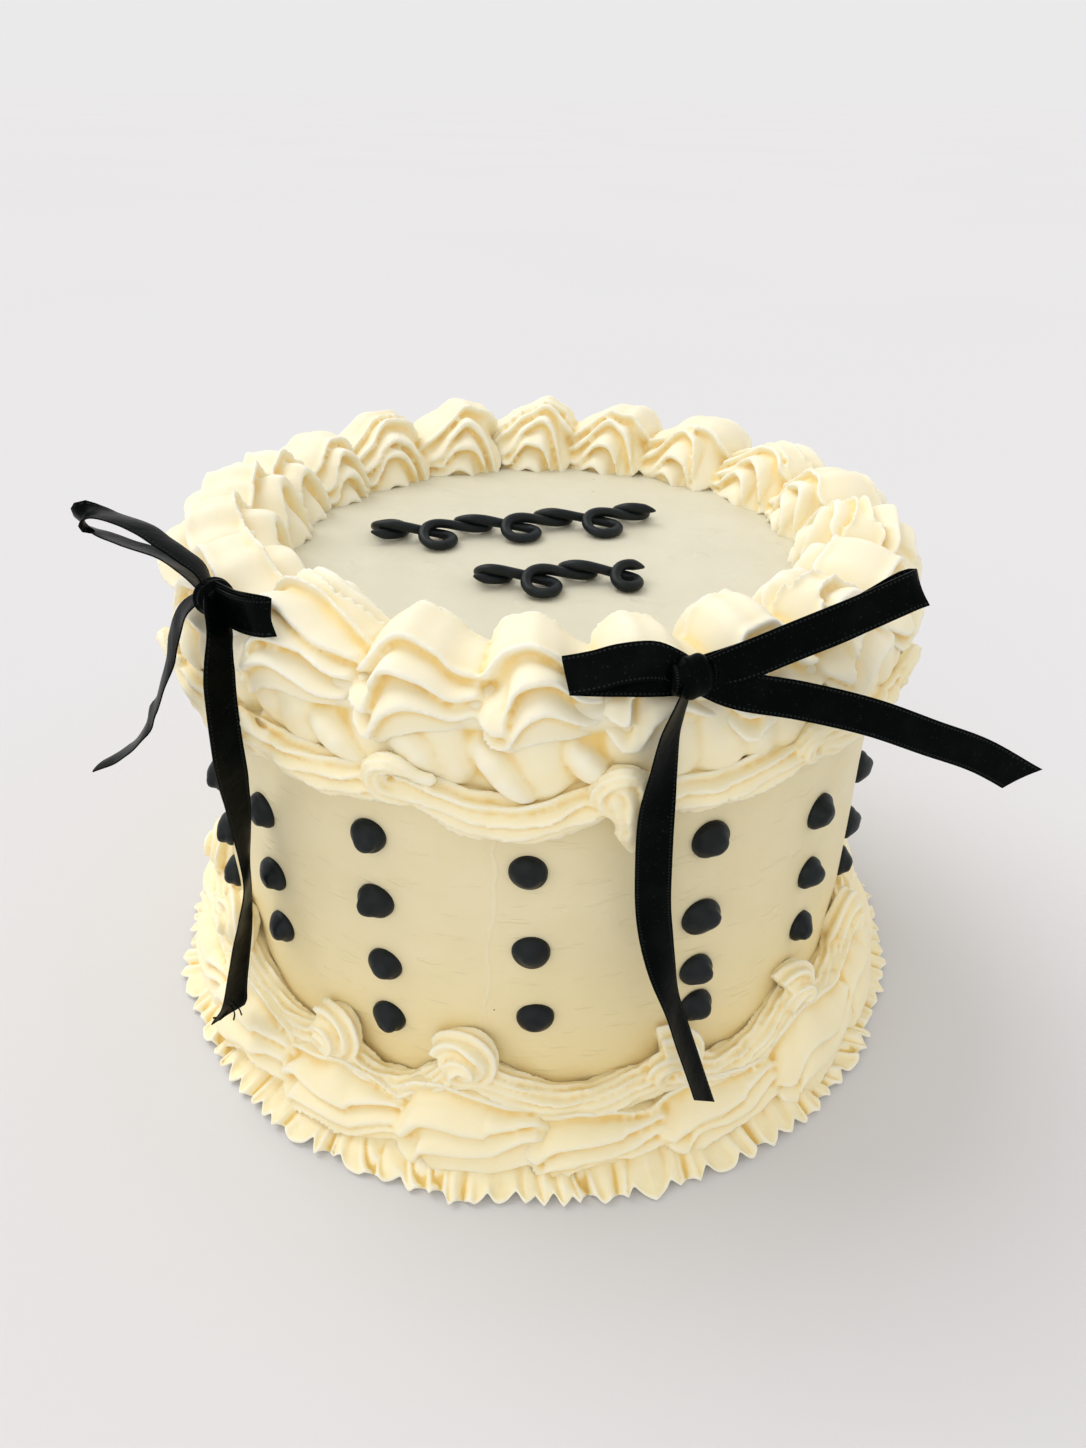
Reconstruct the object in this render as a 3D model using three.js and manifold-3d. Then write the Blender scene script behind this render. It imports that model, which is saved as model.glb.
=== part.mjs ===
// A six-inch celebration cake with piped buttercream borders, dark icing dots and scrolls, and two bows.
// Millimetres, +Z up. The origin is the middle of the flat underside. The front faces -Y.
// A turn is an angle in degrees round the cake, 0 at the front and growing towards +X.
import * as THREE from 'three';
import { mergeVertices } from 'three/addons/utils/BufferGeometryUtils.js';
import Module from 'manifold-3d';

const wasm = await Module();
wasm.setup();

// The iced cake
const cakeRadius = 82;
const cakeHeight = 112;
const cakeSides = 40;
const topEdgeRound = 2.5;
const gap = 0.3;

// Shells round the top edge, piped towards growing turns, each head over the tail before it
const shellStarts = [
  -68, -43, -23, -7, 8, 23, 39, 56, 75, 94, 113, 133, 154, 173, 192, 212, 232, 248, 262, 276,
];
const topShell = {
  ring: 71.8, ringFront: 1.2, ringRight: 1.2, rise: 15.2, riseBack: 1.7, sunk: 5.5,
  halfWidth: 14.8, squash: 0.8, stretch: 0.62, teeth: 5, depth: 0.3, twist: 28, steps: 3,
};

// The rim, where the shells meet the fingers below them. It lies lower at the front
const rim = { inner: 83, outer: 90, start: 111.6, height: 117, front: -2.4 };

// Slanting fingers under the shells
const fingers = { count: 60, reach: 88.8, lopsided: 1.2, wave: 1.7, slant: 0.55 };

// The upper garland, a ridged rope hung in swags, with a drop at each joint
const upperJoints = [-40, -17, 10, 38, 64, 89, 115, 141, 167, 192, 218, 243, 269, 294];
const upperRope = { ring: 84.6, halfHeight: 4.9, halfDepth: 3.9, jointHeight: 99, sag: 2.8, frontSag: 6.2 };
const ropeColumns = 60;
const ropeMarks = 4;
const upperDrop = { ring: 86.8, rise: 3.8, fall: 8.5, halfDepth: 2.9, halfWidth: 4.8 };

// The lower garland, the same rope near the foot of the cake, with a rosette at each joint
const lowerJoints = [-57, -32, -10, 20, 44, 67, 95, 122, 148, 174, 200, 226, 251, 277];
const lowerHeights = [32, 23, 28, 24, 27, 25, 28, 24, 29, 26, 31, 25, 28, 27];
const lowerRope = { ring: 85.2, halfHeight: 4.6, halfDepth: 3.9, below: 3, sag: 7.5 };
const rosette = { radius: 6.9, reach: 94.5, corners: 8, depth: 0.3, twist: 70 };

// Broad petals round the foot, and the frill under them
const petals = { count: 19, columns: 5, reach: 99.2, step: 5, low: 4.2 };
const frill = { count: 54, reach: 98.8, front: 1.7, wave: 1.9, innerTop: 6, outerTop: 3.2 };

// Dark icing dots in columns down the side
const dotColumns = [
  { turn: -70, heights: [63, 47, 34] },
  { turn: -45.3, heights: [74, 57, 42] },
  { turn: -23.5, heights: [81, 64.5, 47.5, 32] },
  { turn: -0.8, heights: [78, 57.5, 39] },
  { turn: 24.4, heights: [81, 61, 46, 35] },
  { turn: 47.5, heights: [74, 57, 41] },
  { turn: 73, heights: [65, 48, 35] },
  { turn: 99, heights: [78, 62, 45] },
  { turn: 125, heights: [80, 64, 49, 35] },
  { turn: 150, heights: [76, 58, 41] },
  { turn: 176, heights: [80, 63, 48] },
  { turn: 202, heights: [77, 58, 42] },
  { turn: 227, heights: [80, 65, 50, 36] },
  { turn: 256, heights: [75, 58, 43] },
];
const columnLean = 0.02;
const dot = { radius: 4.1, proud: 3.7, corners: 6 };

// Dark icing scrolls on top
const scrollLine = { halfHeight: 1.1, halfWidth: 1.5, climb: 2.7, steps: 9 };
const upperScroll = { start: [-41, 0], end: [29, 17], loops: 7, height: 6.4, loop: 5.6, hand: 17 };
const lowerScroll = { start: [-15, -26], end: [23, -20], loops: 4, height: 5.2, loop: 5.2, hand: 21 };

// Satin ribbon
const ribbonWidth = 6.8;
const ribbonThickness = 0.8;

const icing = () => new THREE.MeshStandardMaterial({ color: 0xf2e8cb, roughness: 0.55, metalness: 0 });
const darkIcing = () => new THREE.MeshStandardMaterial({ color: 0x1f2426, roughness: 0.5, metalness: 0 });
const satin = () => new THREE.MeshStandardMaterial({ color: 0x0b0b0c, roughness: 0.35, metalness: 0 });

// Places and small sums

function around(turn, radius, height) {
  const angle = THREE.MathUtils.degToRad(turn);
  return new THREE.Vector3(radius * Math.sin(angle), -radius * Math.cos(angle), height);
}

function outwardAt(point) {
  return new THREE.Vector3(point.x, point.y, 0).normalize();
}

function upwards() {
  return new THREE.Vector3(0, 0, 1);
}

// The same small unevenness each time, from -1 to 1
function uneven(index, seed) {
  const wave = Math.sin(index * 12.9898 + seed * 78.233) * 43758.5453;
  return 2 * (wave - Math.floor(wave)) - 1;
}

// Height of a rope that hangs between joints, at a turn
function swagHeight(turn, joints, heightAt, sagAt) {
  const first = joints[0];
  const place = first + (((turn - first) % 360) + 360) % 360;
  let span = joints.length - 1;
  while (joints[span] > place) span -= 1;
  const next = (span + 1) % joints.length;
  const end = next === 0 ? first + 360 : joints[next];
  const share = (place - joints[span]) / (end - joints[span]);
  const level = THREE.MathUtils.lerp(heightAt(span), heightAt(next), share);
  return level - sagAt(span) * Math.sin(Math.PI * share);
}

// The same height along the straight stretches that a rope is made of
function ropeLevel(turn, heightAt) {
  const stretch = 360 / ropeColumns;
  const column = Math.floor(turn / stretch);
  const share = turn / stretch - column;
  return THREE.MathUtils.lerp(heightAt(column * stretch), heightAt((column + 1) * stretch), share);
}

// Solids

function meshFrom(rows, closedRing, startTip, endTip) {
  const corners = rows[0].length;
  const points = rows.flat();
  const faces = [];
  const last = closedRing ? rows.length : rows.length - 1;
  for (let row = 0; row < last; row += 1) {
    const above = ((row + 1) % rows.length) * corners;
    for (let corner = 0; corner < corners; corner += 1) {
      const next = (corner + 1) % corners;
      faces.push(row * corners + corner, row * corners + next, above + next);
      faces.push(row * corners + corner, above + next, above + corner);
    }
  }
  if (!closedRing) {
    points.push(startTip, endTip);
    const top = (rows.length - 1) * corners;
    for (let corner = 0; corner < corners; corner += 1) {
      const next = (corner + 1) % corners;
      faces.push(points.length - 2, next, corner);
      faces.push(points.length - 1, top + corner, top + next);
    }
  }
  const geometry = new THREE.BufferGeometry().setFromPoints(points);
  geometry.setIndex(faces);
  return geometry;
}

function solidOf(geometry) {
  const bare = geometry.clone();
  bare.deleteAttribute('normal');
  bare.deleteAttribute('uv');
  const merged = mergeVertices(bare, 1e-4);
  const triVerts = [];
  for (let i = 0; i < merged.index.count; i += 3) {
    const [a, b, c] = [0, 1, 2].map((step) => merged.index.getX(i + step));
    if (a !== b && b !== c && c !== a) triVerts.push(a, b, c);
  }
  return new wasm.Manifold(new wasm.Mesh({
    numProp: 3,
    vertProperties: new Float32Array(merged.attributes.position.array),
    triVerts: new Uint32Array(triVerts),
  }));
}

function joined(solids) {
  return solids.reduce((whole, piece) => whole.add(piece));
}

// A cut can leave loose scraps, which are dropped
function largest(solid) {
  return solid.decompose().reduce((best, piece) => (piece.volume() > best.volume() ? piece : best));
}

function pieceOf(name, solid, material) {
  const { numProp, vertProperties, triVerts } = solid.getMesh();
  const geometry = new THREE.BufferGeometry();
  const positions = new Float32Array((vertProperties.length / numProp) * 3);
  for (let i = 0; i < positions.length / 3; i += 1) {
    for (let axis = 0; axis < 3; axis += 1) positions[i * 3 + axis] = vertProperties[i * numProp + axis];
  }
  geometry.setAttribute('position', new THREE.BufferAttribute(positions, 3));
  geometry.setIndex(Array.from(triVerts));
  geometry.computeVertexNormals();
  const mesh = new THREE.Mesh(geometry, material);
  mesh.name = name;
  return mesh;
}

function turned(profile, sides) {
  const geometry = new THREE.LatheGeometry(profile.map(([r, z]) => new THREE.Vector2(r, z)), sides);
  return solidOf(geometry.rotateX(Math.PI / 2));
}

// Icing squeezed through a nozzle along a path.
// Every second corner of the section lies deeper, as a star tip leaves it
function squeezed(pathAt, sizeAt, { steps, corners, depth = 0, squash = 1, twist = 0, facing = outwardAt }) {
  const rows = [];
  const small = 1e-3;
  for (let step = 0; step <= steps; step += 1) {
    const share = step / steps;
    const centre = pathAt(share);
    const along = pathAt(share + small).sub(pathAt(share - small)).normalize();
    const side = facing(centre);
    side.addScaledVector(along, -side.dot(along)).normalize();
    const other = along.clone().cross(side);
    const row = [];
    for (let corner = 0; corner < corners; corner += 1) {
      const angle = (2 * Math.PI * corner) / corners + THREE.MathUtils.degToRad(twist) * share;
      const reach = sizeAt(share) * (corner % 2 === 1 ? 1 - depth : 1);
      row.push(centre.clone()
        .addScaledVector(side, reach * Math.cos(angle))
        .addScaledVector(other, reach * squash * Math.sin(angle)));
    }
    rows.push(row);
  }
  return meshFrom(rows, false, pathAt(0), pathAt(1));
}

// A band round the whole cake: sectionAt gives the (radius, height) corners at a turn
function ringOf(columns, sectionAt) {
  const rows = [];
  for (let column = 0; column < columns; column += 1) {
    const turn = (360 * column) / columns;
    rows.push(sectionAt(turn, column).map(([radius, height]) => around(turn, radius, height)).reverse());
  }
  return solidOf(meshFrom(rows, true));
}

// The cake body

function cakeSolid(grown) {
  const r = cakeRadius + grown;
  const h = cakeHeight + grown;
  const edge = topEdgeRound;
  const bend = edge * Math.SQRT1_2;
  return turned([
    [0, -grown], [r, -grown], [r, h - edge], [r - edge + bend, h - edge + bend], [r - edge, h], [0, h],
  ], cakeSides);
}

// Shells

// A shell rises from its head, goes over and runs down to its tail: its path is part of an ellipse
function shellSolid(turn, pitch, index) {
  const front = Math.cos(THREE.MathUtils.degToRad(turn));
  const right = Math.sin(THREE.MathUtils.degToRad(turn));
  const swell = 1 + 0.06 * uneven(index, 1);
  const rise = topShell.rise - topShell.riseBack * front;
  const ring = topShell.ring + topShell.ringFront * front + topShell.ringRight * right;
  const half = topShell.stretch * pitch;
  const middle = turn + pitch * 0.45;
  const pathAt = (share) => {
    const angle = THREE.MathUtils.degToRad(16 + 150 * share);
    const lift = (rise * Math.sin(angle) - topShell.sunk) * swell;
    return around(middle - half * Math.cos(angle), ring, cakeHeight + lift);
  };
  const sizeAt = (share) => topShell.halfWidth * swell * Math.sin(Math.PI * (0.2 + 0.7 * share)) ** 0.7;
  return solidOf(squeezed(pathAt, sizeAt, {
    steps: topShell.steps,
    corners: topShell.teeth * 2,
    depth: topShell.depth,
    squash: topShell.squash,
    twist: topShell.twist + 12 * uneven(index, 2),
  }));
}

// The rim slopes up and outward from the edge of the cake
function rimHeight(turn, radius = rim.outer) {
  const outside = rim.height + rim.front * Math.cos(THREE.MathUtils.degToRad(turn));
  const share = Math.min(1, (radius - rim.inner) / (rim.outer - rim.inner));
  return THREE.MathUtils.lerp(rim.start, outside, share);
}

function topBorder() {
  const shells = shellStarts.map((turn, index) => {
    const next = index + 1 < shellStarts.length ? shellStarts[index + 1] : shellStarts[0] + 360;
    return shellSolid(turn, next - turn, index);
  });
  const outside = 120;
  const underRim = ringOf(cakeSides, (turn) => {
    const height = rimHeight(turn);
    return [
      [60, 60], [outside, 60], [outside, height], [rim.outer, height], [rim.inner, rim.start],
      [60, rim.start],
    ];
  });
  return largest(joined(shells).subtract(cakeSolid(gap)).subtract(underRim));
}

// Fingers under the shells, down to the upper garland

function upperRopeHeight(turn) {
  const heightAt = (joint) => upperRope.jointHeight + 0.8 * uneven(joint, 3);
  const sagAt = (joint) => (joint === 1 ? upperRope.frontSag : upperRope.sag + 0.8 * uneven(joint, 4));
  return swagHeight(turn, upperJoints, heightAt, sagAt);
}

function fingerBand() {
  const inner = cakeRadius + gap + 0.1;
  return ringOf(fingers.count * 2, (turn, column) => {
    const low = ropeLevel(turn, upperRopeHeight) + upperRope.halfHeight + gap + 0.1;
    const finger = Math.floor(column / 2);
    const reach = fingers.reach + fingers.lopsided * Math.sin(THREE.MathUtils.degToRad(turn));
    const wave = (share) => {
      const phase = column * Math.PI - share * fingers.slant * Math.PI;
      return fingers.wave * (0.7 + 0.3 * uneven(finger, 5)) * Math.cos(phase);
    };
    const topReach = reach - 3.2 + wave(1) * 0.4;
    const high = ropeLevel(turn, (place) => rimHeight(place, topReach)) - 1.5 * gap;
    return [
      [inner, low],
      [reach - 1 + wave(0), low],
      [reach + wave(0.5), THREE.MathUtils.lerp(low, high, 0.5)],
      [topReach, high],
      [inner, rim.start - 1.5 * gap],
    ];
  });
}

// Garlands

// A rope against the cake: flat behind, ridged in front
function ropeBand(rope, heightAt) {
  const back = cakeRadius + gap + 0.1;
  return ringOf(ropeColumns, (turn, column) => {
    const middle = heightAt(turn);
    const swell = 1 + 0.05 * uneven(column, 6);
    const section = [[back, middle - rope.halfHeight * 0.8]];
    for (let mark = 0; mark < ropeMarks; mark += 1) {
      const angle = Math.PI * (mark / (ropeMarks - 1) - 0.5) * 0.92;
      const reach = ((mark + column) % 2 === 0 ? 1 : 0.8) * swell;
      section.push([
        rope.ring + rope.halfDepth * Math.cos(angle) * reach,
        middle + rope.halfHeight * Math.sin(angle),
      ]);
    }
    section.push([back, middle + rope.halfHeight * 0.8]);
    return section;
  });
}

function dropSolid(turn, height, index) {
  const pathAt = (share) => {
    const level = height + upperDrop.rise - (upperDrop.rise + upperDrop.fall) * share;
    const bulge = 2 * Math.sin(Math.PI * Math.max(0, share));
    return around(turn + 1.2 * uneven(index, 7) * share, upperDrop.ring + bulge, level);
  };
  const sizeAt = (share) => upperDrop.halfDepth * Math.sin(Math.PI * (0.25 + 0.62 * share)) ** 0.8;
  const squash = upperDrop.halfWidth / upperDrop.halfDepth;
  return solidOf(squeezed(pathAt, sizeAt, { steps: 2, corners: 6, depth: 0.25, squash, twist: 20 }));
}

function upperGarland() {
  const rope = ropeBand(upperRope, upperRopeHeight);
  const drops = upperJoints.map((turn, index) => dropSolid(turn, ropeLevel(turn, upperRopeHeight), index));
  return joined([rope, ...drops]);
}

function lowerRopeHeight(turn) {
  const heightAt = (joint) => lowerHeights[joint] - lowerRope.below;
  const sagAt = (joint) => lowerRope.sag + 1.2 * uneven(joint, 8);
  return swagHeight(turn, lowerJoints, heightAt, sagAt);
}

function rosetteSolid(turn, height, index) {
  const start = cakeRadius + 3 * gap;
  const reach = rosette.reach + 0.8 * uneven(index, 9);
  const pathAt = (share) => around(turn, start + (reach - start) * share, height);
  const sizeAt = (share) => rosette.radius * (share < 0.6 ? 1 : 0.66);
  const { corners, depth, twist } = rosette;
  return solidOf(squeezed(pathAt, sizeAt, { steps: 2, corners, depth, twist, facing: upwards }));
}

function lowerGarland() {
  const rope = ropeBand(lowerRope, lowerRopeHeight);
  const rosettes = lowerJoints.map((turn, index) => rosetteSolid(turn, lowerHeights[index], index));
  return joined([rope, ...rosettes]);
}

// The foot

// Petals overlap like roof tiles: each swells quickly from its head and thins towards the next one's head
function footPetals() {
  const inner = cakeRadius + gap + 0.1;
  return ringOf(petals.count * petals.columns, (turn, column) => {
    const share = (column % petals.columns) / petals.columns;
    const petal = Math.floor(column / petals.columns);
    const rise = Math.sin(Math.PI * Math.min(1, 0.15 + share)) ** 0.6;
    const swell = petals.step * (1 + 0.2 * uneven(petal, 10)) * rise;
    const top = ropeLevel(turn, lowerRopeHeight) - lowerRope.halfHeight - 3 * gap;
    const back = frill.innerTop + gap;
    const front = petals.reach - petals.step + swell;
    return [
      [inner, back], [petals.reach - 6, petals.low + 0.4], [front - 1.5, petals.low],
      [front, petals.low + 3],
      [Math.min(front - 2, 95), Math.max(top, petals.low + 4.4)], [inner, top],
    ];
  });
}

function footFrill() {
  const inner = cakeRadius + gap + 0.1;
  return ringOf(frill.count * 2, (turn, column) => {
    const fold = Math.floor(column / 2);
    const wave = frill.wave * (0.75 + 0.25 * uneven(fold, 11)) * (column % 2 === 0 ? 1 : -1);
    const lopsided = frill.front * Math.cos(THREE.MathUtils.degToRad(turn));
    const edge = frill.reach + lopsided + wave + 0.8 * uneven(Math.floor(column / 9), 12);
    return [[inner, 0], [edge - 0.4, 0], [edge, frill.outerTop - 0.4], [inner, frill.innerTop]];
  });
}

// Dark icing

function dotSolid(turn, height, index) {
  const start = cakeRadius + gap + 0.02;
  const size = dot.radius * (1 + 0.07 * uneven(index, 13));
  const tipTurn = 1.1 * uneven(index, 14);
  const tipLift = 1.4 * uneven(index, 15);
  const pathAt = (share) => around(
    turn + tipTurn * Math.max(0, share) ** 2,
    start + dot.proud * share,
    height + tipLift * Math.max(0, share) ** 2,
  );
  const sizeAt = (share) => size * (share < 0.6 ? 1 - 0.18 * share : 0.24);
  return solidOf(squeezed(pathAt, sizeAt, { steps: 2, corners: dot.corners, facing: upwards }));
}

// A running scroll by hand: one line that loops above and below in turn, no two loops alike. It climbs over
// itself where it crosses, and never runs through itself
function scrollSolid(scroll) {
  const start = new THREE.Vector2(...scroll.start);
  const run = new THREE.Vector2(...scroll.end).sub(start);
  const length = run.length();
  const forward = run.clone().normalize();
  const sideways = new THREE.Vector2(-forward.y, forward.x);
  const floor = cakeHeight + gap + scrollLine.halfHeight;
  const pathAt = (share) => {
    const place = share * scroll.loops;
    const loopNumber = Math.floor(place);
    const angle = Math.PI * place;
    const loop = scroll.loop * (1 + 0.12 * uneven(loopNumber, scroll.hand));
    const advance = length * share + loop * Math.sin(2 * angle);
    const height = scroll.height * (1 + 0.16 * uneven(loopNumber, scroll.hand + 1));
    const swing = height * (Math.sin(angle) - 0.3 * Math.sin(3 * angle));
    const climb = (0.5 + 0.5 * Math.cos(2 * Math.PI * (place + 0.13))) ** 3;
    return new THREE.Vector3(
      start.x + forward.x * advance + sideways.x * swing,
      start.y + forward.y * advance + sideways.y * swing,
      floor + scrollLine.climb * climb,
    );
  };
  const squash = scrollLine.halfWidth / scrollLine.halfHeight;
  const look = { steps: scroll.loops * scrollLine.steps, corners: 4, squash, facing: upwards };
  return solidOf(squeezed(pathAt, () => scrollLine.halfHeight, look));
}

// Ribbon

// A flat strip along points, with the direction of its width given at each
function strip(points, widths, steps) {
  const vectors = (list) => list.map((values) => new THREE.Vector3(...values));
  const path = new THREE.CatmullRomCurve3(vectors(points));
  const across = new THREE.CatmullRomCurve3(vectors(widths));
  const rows = [];
  for (let step = 0; step <= steps; step += 1) {
    const share = step / steps;
    const centre = path.getPoint(share);
    const along = path.getTangent(share);
    const side = across.getPoint(share);
    side.addScaledVector(along, -side.dot(along)).normalize();
    const face = along.clone().cross(side);
    const halves = [[1, 1], [-1, 1], [-1, -1], [1, -1]];
    rows.push(halves.map(([s, f]) => centre.clone()
      .addScaledVector(side, (s * ribbonWidth) / 2)
      .addScaledVector(face, (f * ribbonThickness) / 2)));
  }
  return solidOf(meshFrom(rows, false, path.getPoint(0), path.getPoint(1)));
}

function knotSolid([x, y, z], radii) {
  const ball = new THREE.SphereGeometry(1, 8, 4).scale(...radii).translate(x, y, z);
  return solidOf(ball);
}

const upright = [0, 0, 1];
const sideways = [1, 0, 0];
const leaningBack = [0, 0.45, 0.9];

function frontBow() {
  const knot = [25.3, -83.6, 121.8];
  const leftLoop = strip(
    [knot, [17.8, -86, 124.4], [9.2, -86, 123.8], [4.4, -84, 121.8], [9.2, -82.9, 120.7],
      [17.5, -84, 121.6], knot],
    [upright, leaningBack, leaningBack, leaningBack, leaningBack, leaningBack, upright],
    9,
  );
  const rightSlope = [-0.45, 0.2, 0.9];
  const rightLoop = strip(
    [knot, [33.3, -82.6, 124], [44, -79.6, 127.3], [54, -76.1, 130.1], [64.6, -72.2, 133.3],
      [65.6, -71.2, 133], [54.5, -74.1, 128.9], [43.9, -77.6, 125.8], [33.3, -81.1, 123], knot],
    [upright, ...Array(8).fill(rightSlope), upright],
    11,
  );
  const rightTail = strip(
    [knot, [33.8, -83.7, 119.2], [44.5, -82.4, 116.7], [58.2, -80.2, 112.2], [70.8, -78, 106.6],
      [81.7, -75.7, 101.5], [91.6, -74, 95.4]],
    [upright, leaningBack, [0.1, 0.4, 0.9], [0.3, 0.4, 0.9], [0.4, 0.3, 0.9], [0.5, 0.3, 0.8],
      [0.6, 0.3, 0.7]],
    7,
  );
  const downTail = strip(
    [knot, [22.3, -87.9, 116.2], [20.4, -89.5, 110.1], [18.9, -91.3, 101.7], [19.6, -89.8, 86.6],
      [22.3, -88.2, 71.2], [26.6, -88.3, 54.8], [31.5, -90.4, 38.6], [35.6, -92.3, 25.8]],
    [[1, 0, 0.6], sideways, sideways, sideways, sideways, [1, 0.3, 0], [1, 0.7, 0], [1, 0.5, 0.2],
      [1, 0.3, 0.3]],
    10,
  );
  return largest(joined([knotSolid(knot, [4.6, 3.2, 4.4]), leftLoop, rightLoop, rightTail, downTail]));
}

function leftBow() {
  const knot = [-62.7, -55.8, 122.9];
  const leaningIn = [0.32, 0.32, 0.9];
  const longLoop = strip(
    [knot, [-65.5, -54.2, 126.7], [-71.9, -51.2, 131.2], [-81.5, -46.3, 134.1], [-88.9, -42.4, 134.3],
      [-92.6, -40.5, 132.2], [-92, -39, 129.6], [-84.5, -41.4, 127.8], [-75, -46.3, 125.4],
      [-67, -52.3, 123], knot],
    [upright, ...Array(9).fill(leaningIn), upright],
    11,
  );
  const shortLoop = strip(
    [knot, [-56.8, -62.8, 124.3], [-50.3, -69.4, 127], [-47.2, -72.1, 125.7], [-50.3, -69.7, 124],
      [-56.1, -63, 121.7], knot],
    [upright, ...Array(5).fill(leaningIn), upright],
    8,
  );
  const thinTail = strip(
    [knot, [-67.3, -56.4, 119.6], [-70.6, -56.4, 115.2], [-73.1, -56, 106.4], [-78.1, -54.6, 96.5],
      [-84.1, -53.2, 88.3], [-91.2, -52.1, 82.3]],
    [upright, [0.7, 0.2, 0.6], [0.8, 0.6, 0.3], [0.5, 0.9, 0.2], [0.8, 0.4, 0.5], [0.3, 0.9, 0.4],
      [0.5, 0.5, 0.7]],
    8,
  );
  const tangent = [1, -0.8, 0];
  const downTail = strip(
    [knot, [-59.3, -68, 119.7], [-59.3, -69.2, 109.8], [-59.8, -70.7, 97.5], [-61.9, -67.1, 78.5],
      [-63.5, -65, 58.6], [-67, -64, 39.9], [-70.8, -64.6, 24.8], [-73.5, -65, 19.3]],
    [[1, -0.9, 0.4], tangent, tangent, tangent, tangent, [1, -0.4, 0], [0.8, 0.4, 0.1], [0.9, 0, 0.3],
      [1, -0.3, 0.4]],
    9,
  );
  return largest(joined([knotSolid(knot, [4.6, 4.2, 4.3]), longLoop, shortLoop, thinTail, downTail]));
}

// The whole cake

const graduationCake = new THREE.Group();
graduationCake.add(pieceOf('cake', cakeSolid(0), icing()));
graduationCake.add(pieceOf('top_border', topBorder(), icing()));
graduationCake.add(pieceOf('side_border', fingerBand(), icing()));
graduationCake.add(pieceOf('upper_garland', upperGarland(), icing()));
graduationCake.add(pieceOf('lower_garland', lowerGarland(), icing()));
graduationCake.add(pieceOf('foot_petals', footPetals(), icing()));
graduationCake.add(pieceOf('foot_frill', footFrill(), icing()));
graduationCake.add(pieceOf('upper_scroll', scrollSolid(upperScroll), darkIcing()));
graduationCake.add(pieceOf('lower_scroll', scrollSolid(lowerScroll), darkIcing()));
graduationCake.add(pieceOf('front_bow', frontBow(), satin()));
graduationCake.add(pieceOf('left_bow', leftBow(), satin()));
let dotNumber = 0;
for (const { turn, heights } of dotColumns) {
  for (const height of heights) {
    dotNumber += 1;
    const name = `dot_${String(dotNumber).padStart(2, '0')}`;
    const place = turn + 0.3 * uneven(dotNumber, 16) - columnLean * (height - 50);
    graduationCake.add(pieceOf(name, dotSolid(place, height, dotNumber), darkIcing()));
  }
}

export default graduationCake;
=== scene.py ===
# A celebration cake: ivory buttercream, piped borders and swags, dark icing, two satin bows.
# Sizes in the tables are millimetres, meshes are metres, +Z is up and the front looks along -Y.
import math

import bpy
import numpy as np
from mathutils import Matrix, Vector


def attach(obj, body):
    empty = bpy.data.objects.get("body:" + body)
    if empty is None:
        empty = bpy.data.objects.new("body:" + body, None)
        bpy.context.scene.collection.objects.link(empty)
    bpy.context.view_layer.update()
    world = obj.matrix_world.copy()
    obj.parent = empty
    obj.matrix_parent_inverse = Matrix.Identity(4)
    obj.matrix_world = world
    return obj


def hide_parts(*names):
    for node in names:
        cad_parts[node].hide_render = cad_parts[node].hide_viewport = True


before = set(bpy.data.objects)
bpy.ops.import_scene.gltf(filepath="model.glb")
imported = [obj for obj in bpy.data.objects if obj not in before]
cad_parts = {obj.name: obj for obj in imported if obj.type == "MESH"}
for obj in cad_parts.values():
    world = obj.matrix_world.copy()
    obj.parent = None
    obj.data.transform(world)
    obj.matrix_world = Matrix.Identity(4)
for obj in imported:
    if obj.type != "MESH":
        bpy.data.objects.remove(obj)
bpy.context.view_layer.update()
metre = 0.001  # one millimetre
cakeRadius = 82.0
cakeHeight = 112.0
circle = 2 * math.pi


def fillet(low, high, value):
    share = np.clip((np.asarray(value, float) - low) / (high - low), 0, 1)
    return share * share * (3 - 2 * share)


def around(turn, radius, height):
    # a place round the cake: 0 degrees is the front, and turns grow towards +X
    turn, radius, height = np.broadcast_arrays(np.radians(turn), radius, height)
    return np.stack([radius * np.sin(turn), -radius * np.cos(turn), height], axis=-1).astype(float)


def onWall(turn, offset, radius, height):
    # a place so many millimetres to the right of a turn
    return around(turn + np.degrees(np.asarray(offset) / radius), radius, height)


def uneven(index, seed):
    # the same small unevenness each time, from -1 to 1; the seed only picks which
    wave = math.sin(index * 12.9898 + seed * 78.233) * 43758.5453
    return 2 * (wave - math.floor(wave)) - 1


def drift(place, seed):
    # a slow smooth wander from about -1 to 1
    total = 0
    for wave in range(5):
        total = total + np.sin(np.asarray(place, float) * (0.9 + 0.77 * wave) + circle * uneven(wave, seed))
    return total / 3


def spans(starts):
    # number, start and end of each stretch round the cake, the last of which closes the ring
    return list(zip(range(len(starts)), starts, starts[1:] + [starts[0] + 360]))


def through(knots, count):
    # so many places on a smooth curve through rows of numbers, spaced by how far apart they are
    knots = np.asarray(knots, float)
    rows = np.vstack([2 * knots[0] - knots[1], knots, 2 * knots[-1] - knots[-2]])
    steps = np.sqrt(np.linalg.norm(np.diff(rows, axis=0), axis=1)) + 1e-6
    place = np.linspace(0, 1, count) * (len(knots) - 1)
    start = np.minimum(place.astype(int), len(knots) - 2)
    part = (place - start)[:, None]
    before, first, second, after = (rows[start + k] for k in range(4))
    gap0, gap1, gap2 = (steps[start + k][:, None] for k in range(3))
    leave = (first - before) / gap0 - (second - before) / (gap0 + gap1) + (second - first) / gap1
    arrive = (second - first) / gap1 - (after - first) / (gap1 + gap2) + (after - second) / gap2
    leave, arrive = leave * gap1, arrive * gap1
    square, cube = part ** 2, part ** 3
    return ((2 * cube - 3 * square + 1) * first + (cube - 2 * square + part) * leave
            + (3 * square - 2 * cube) * second + (cube - square) * arrive)


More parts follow.
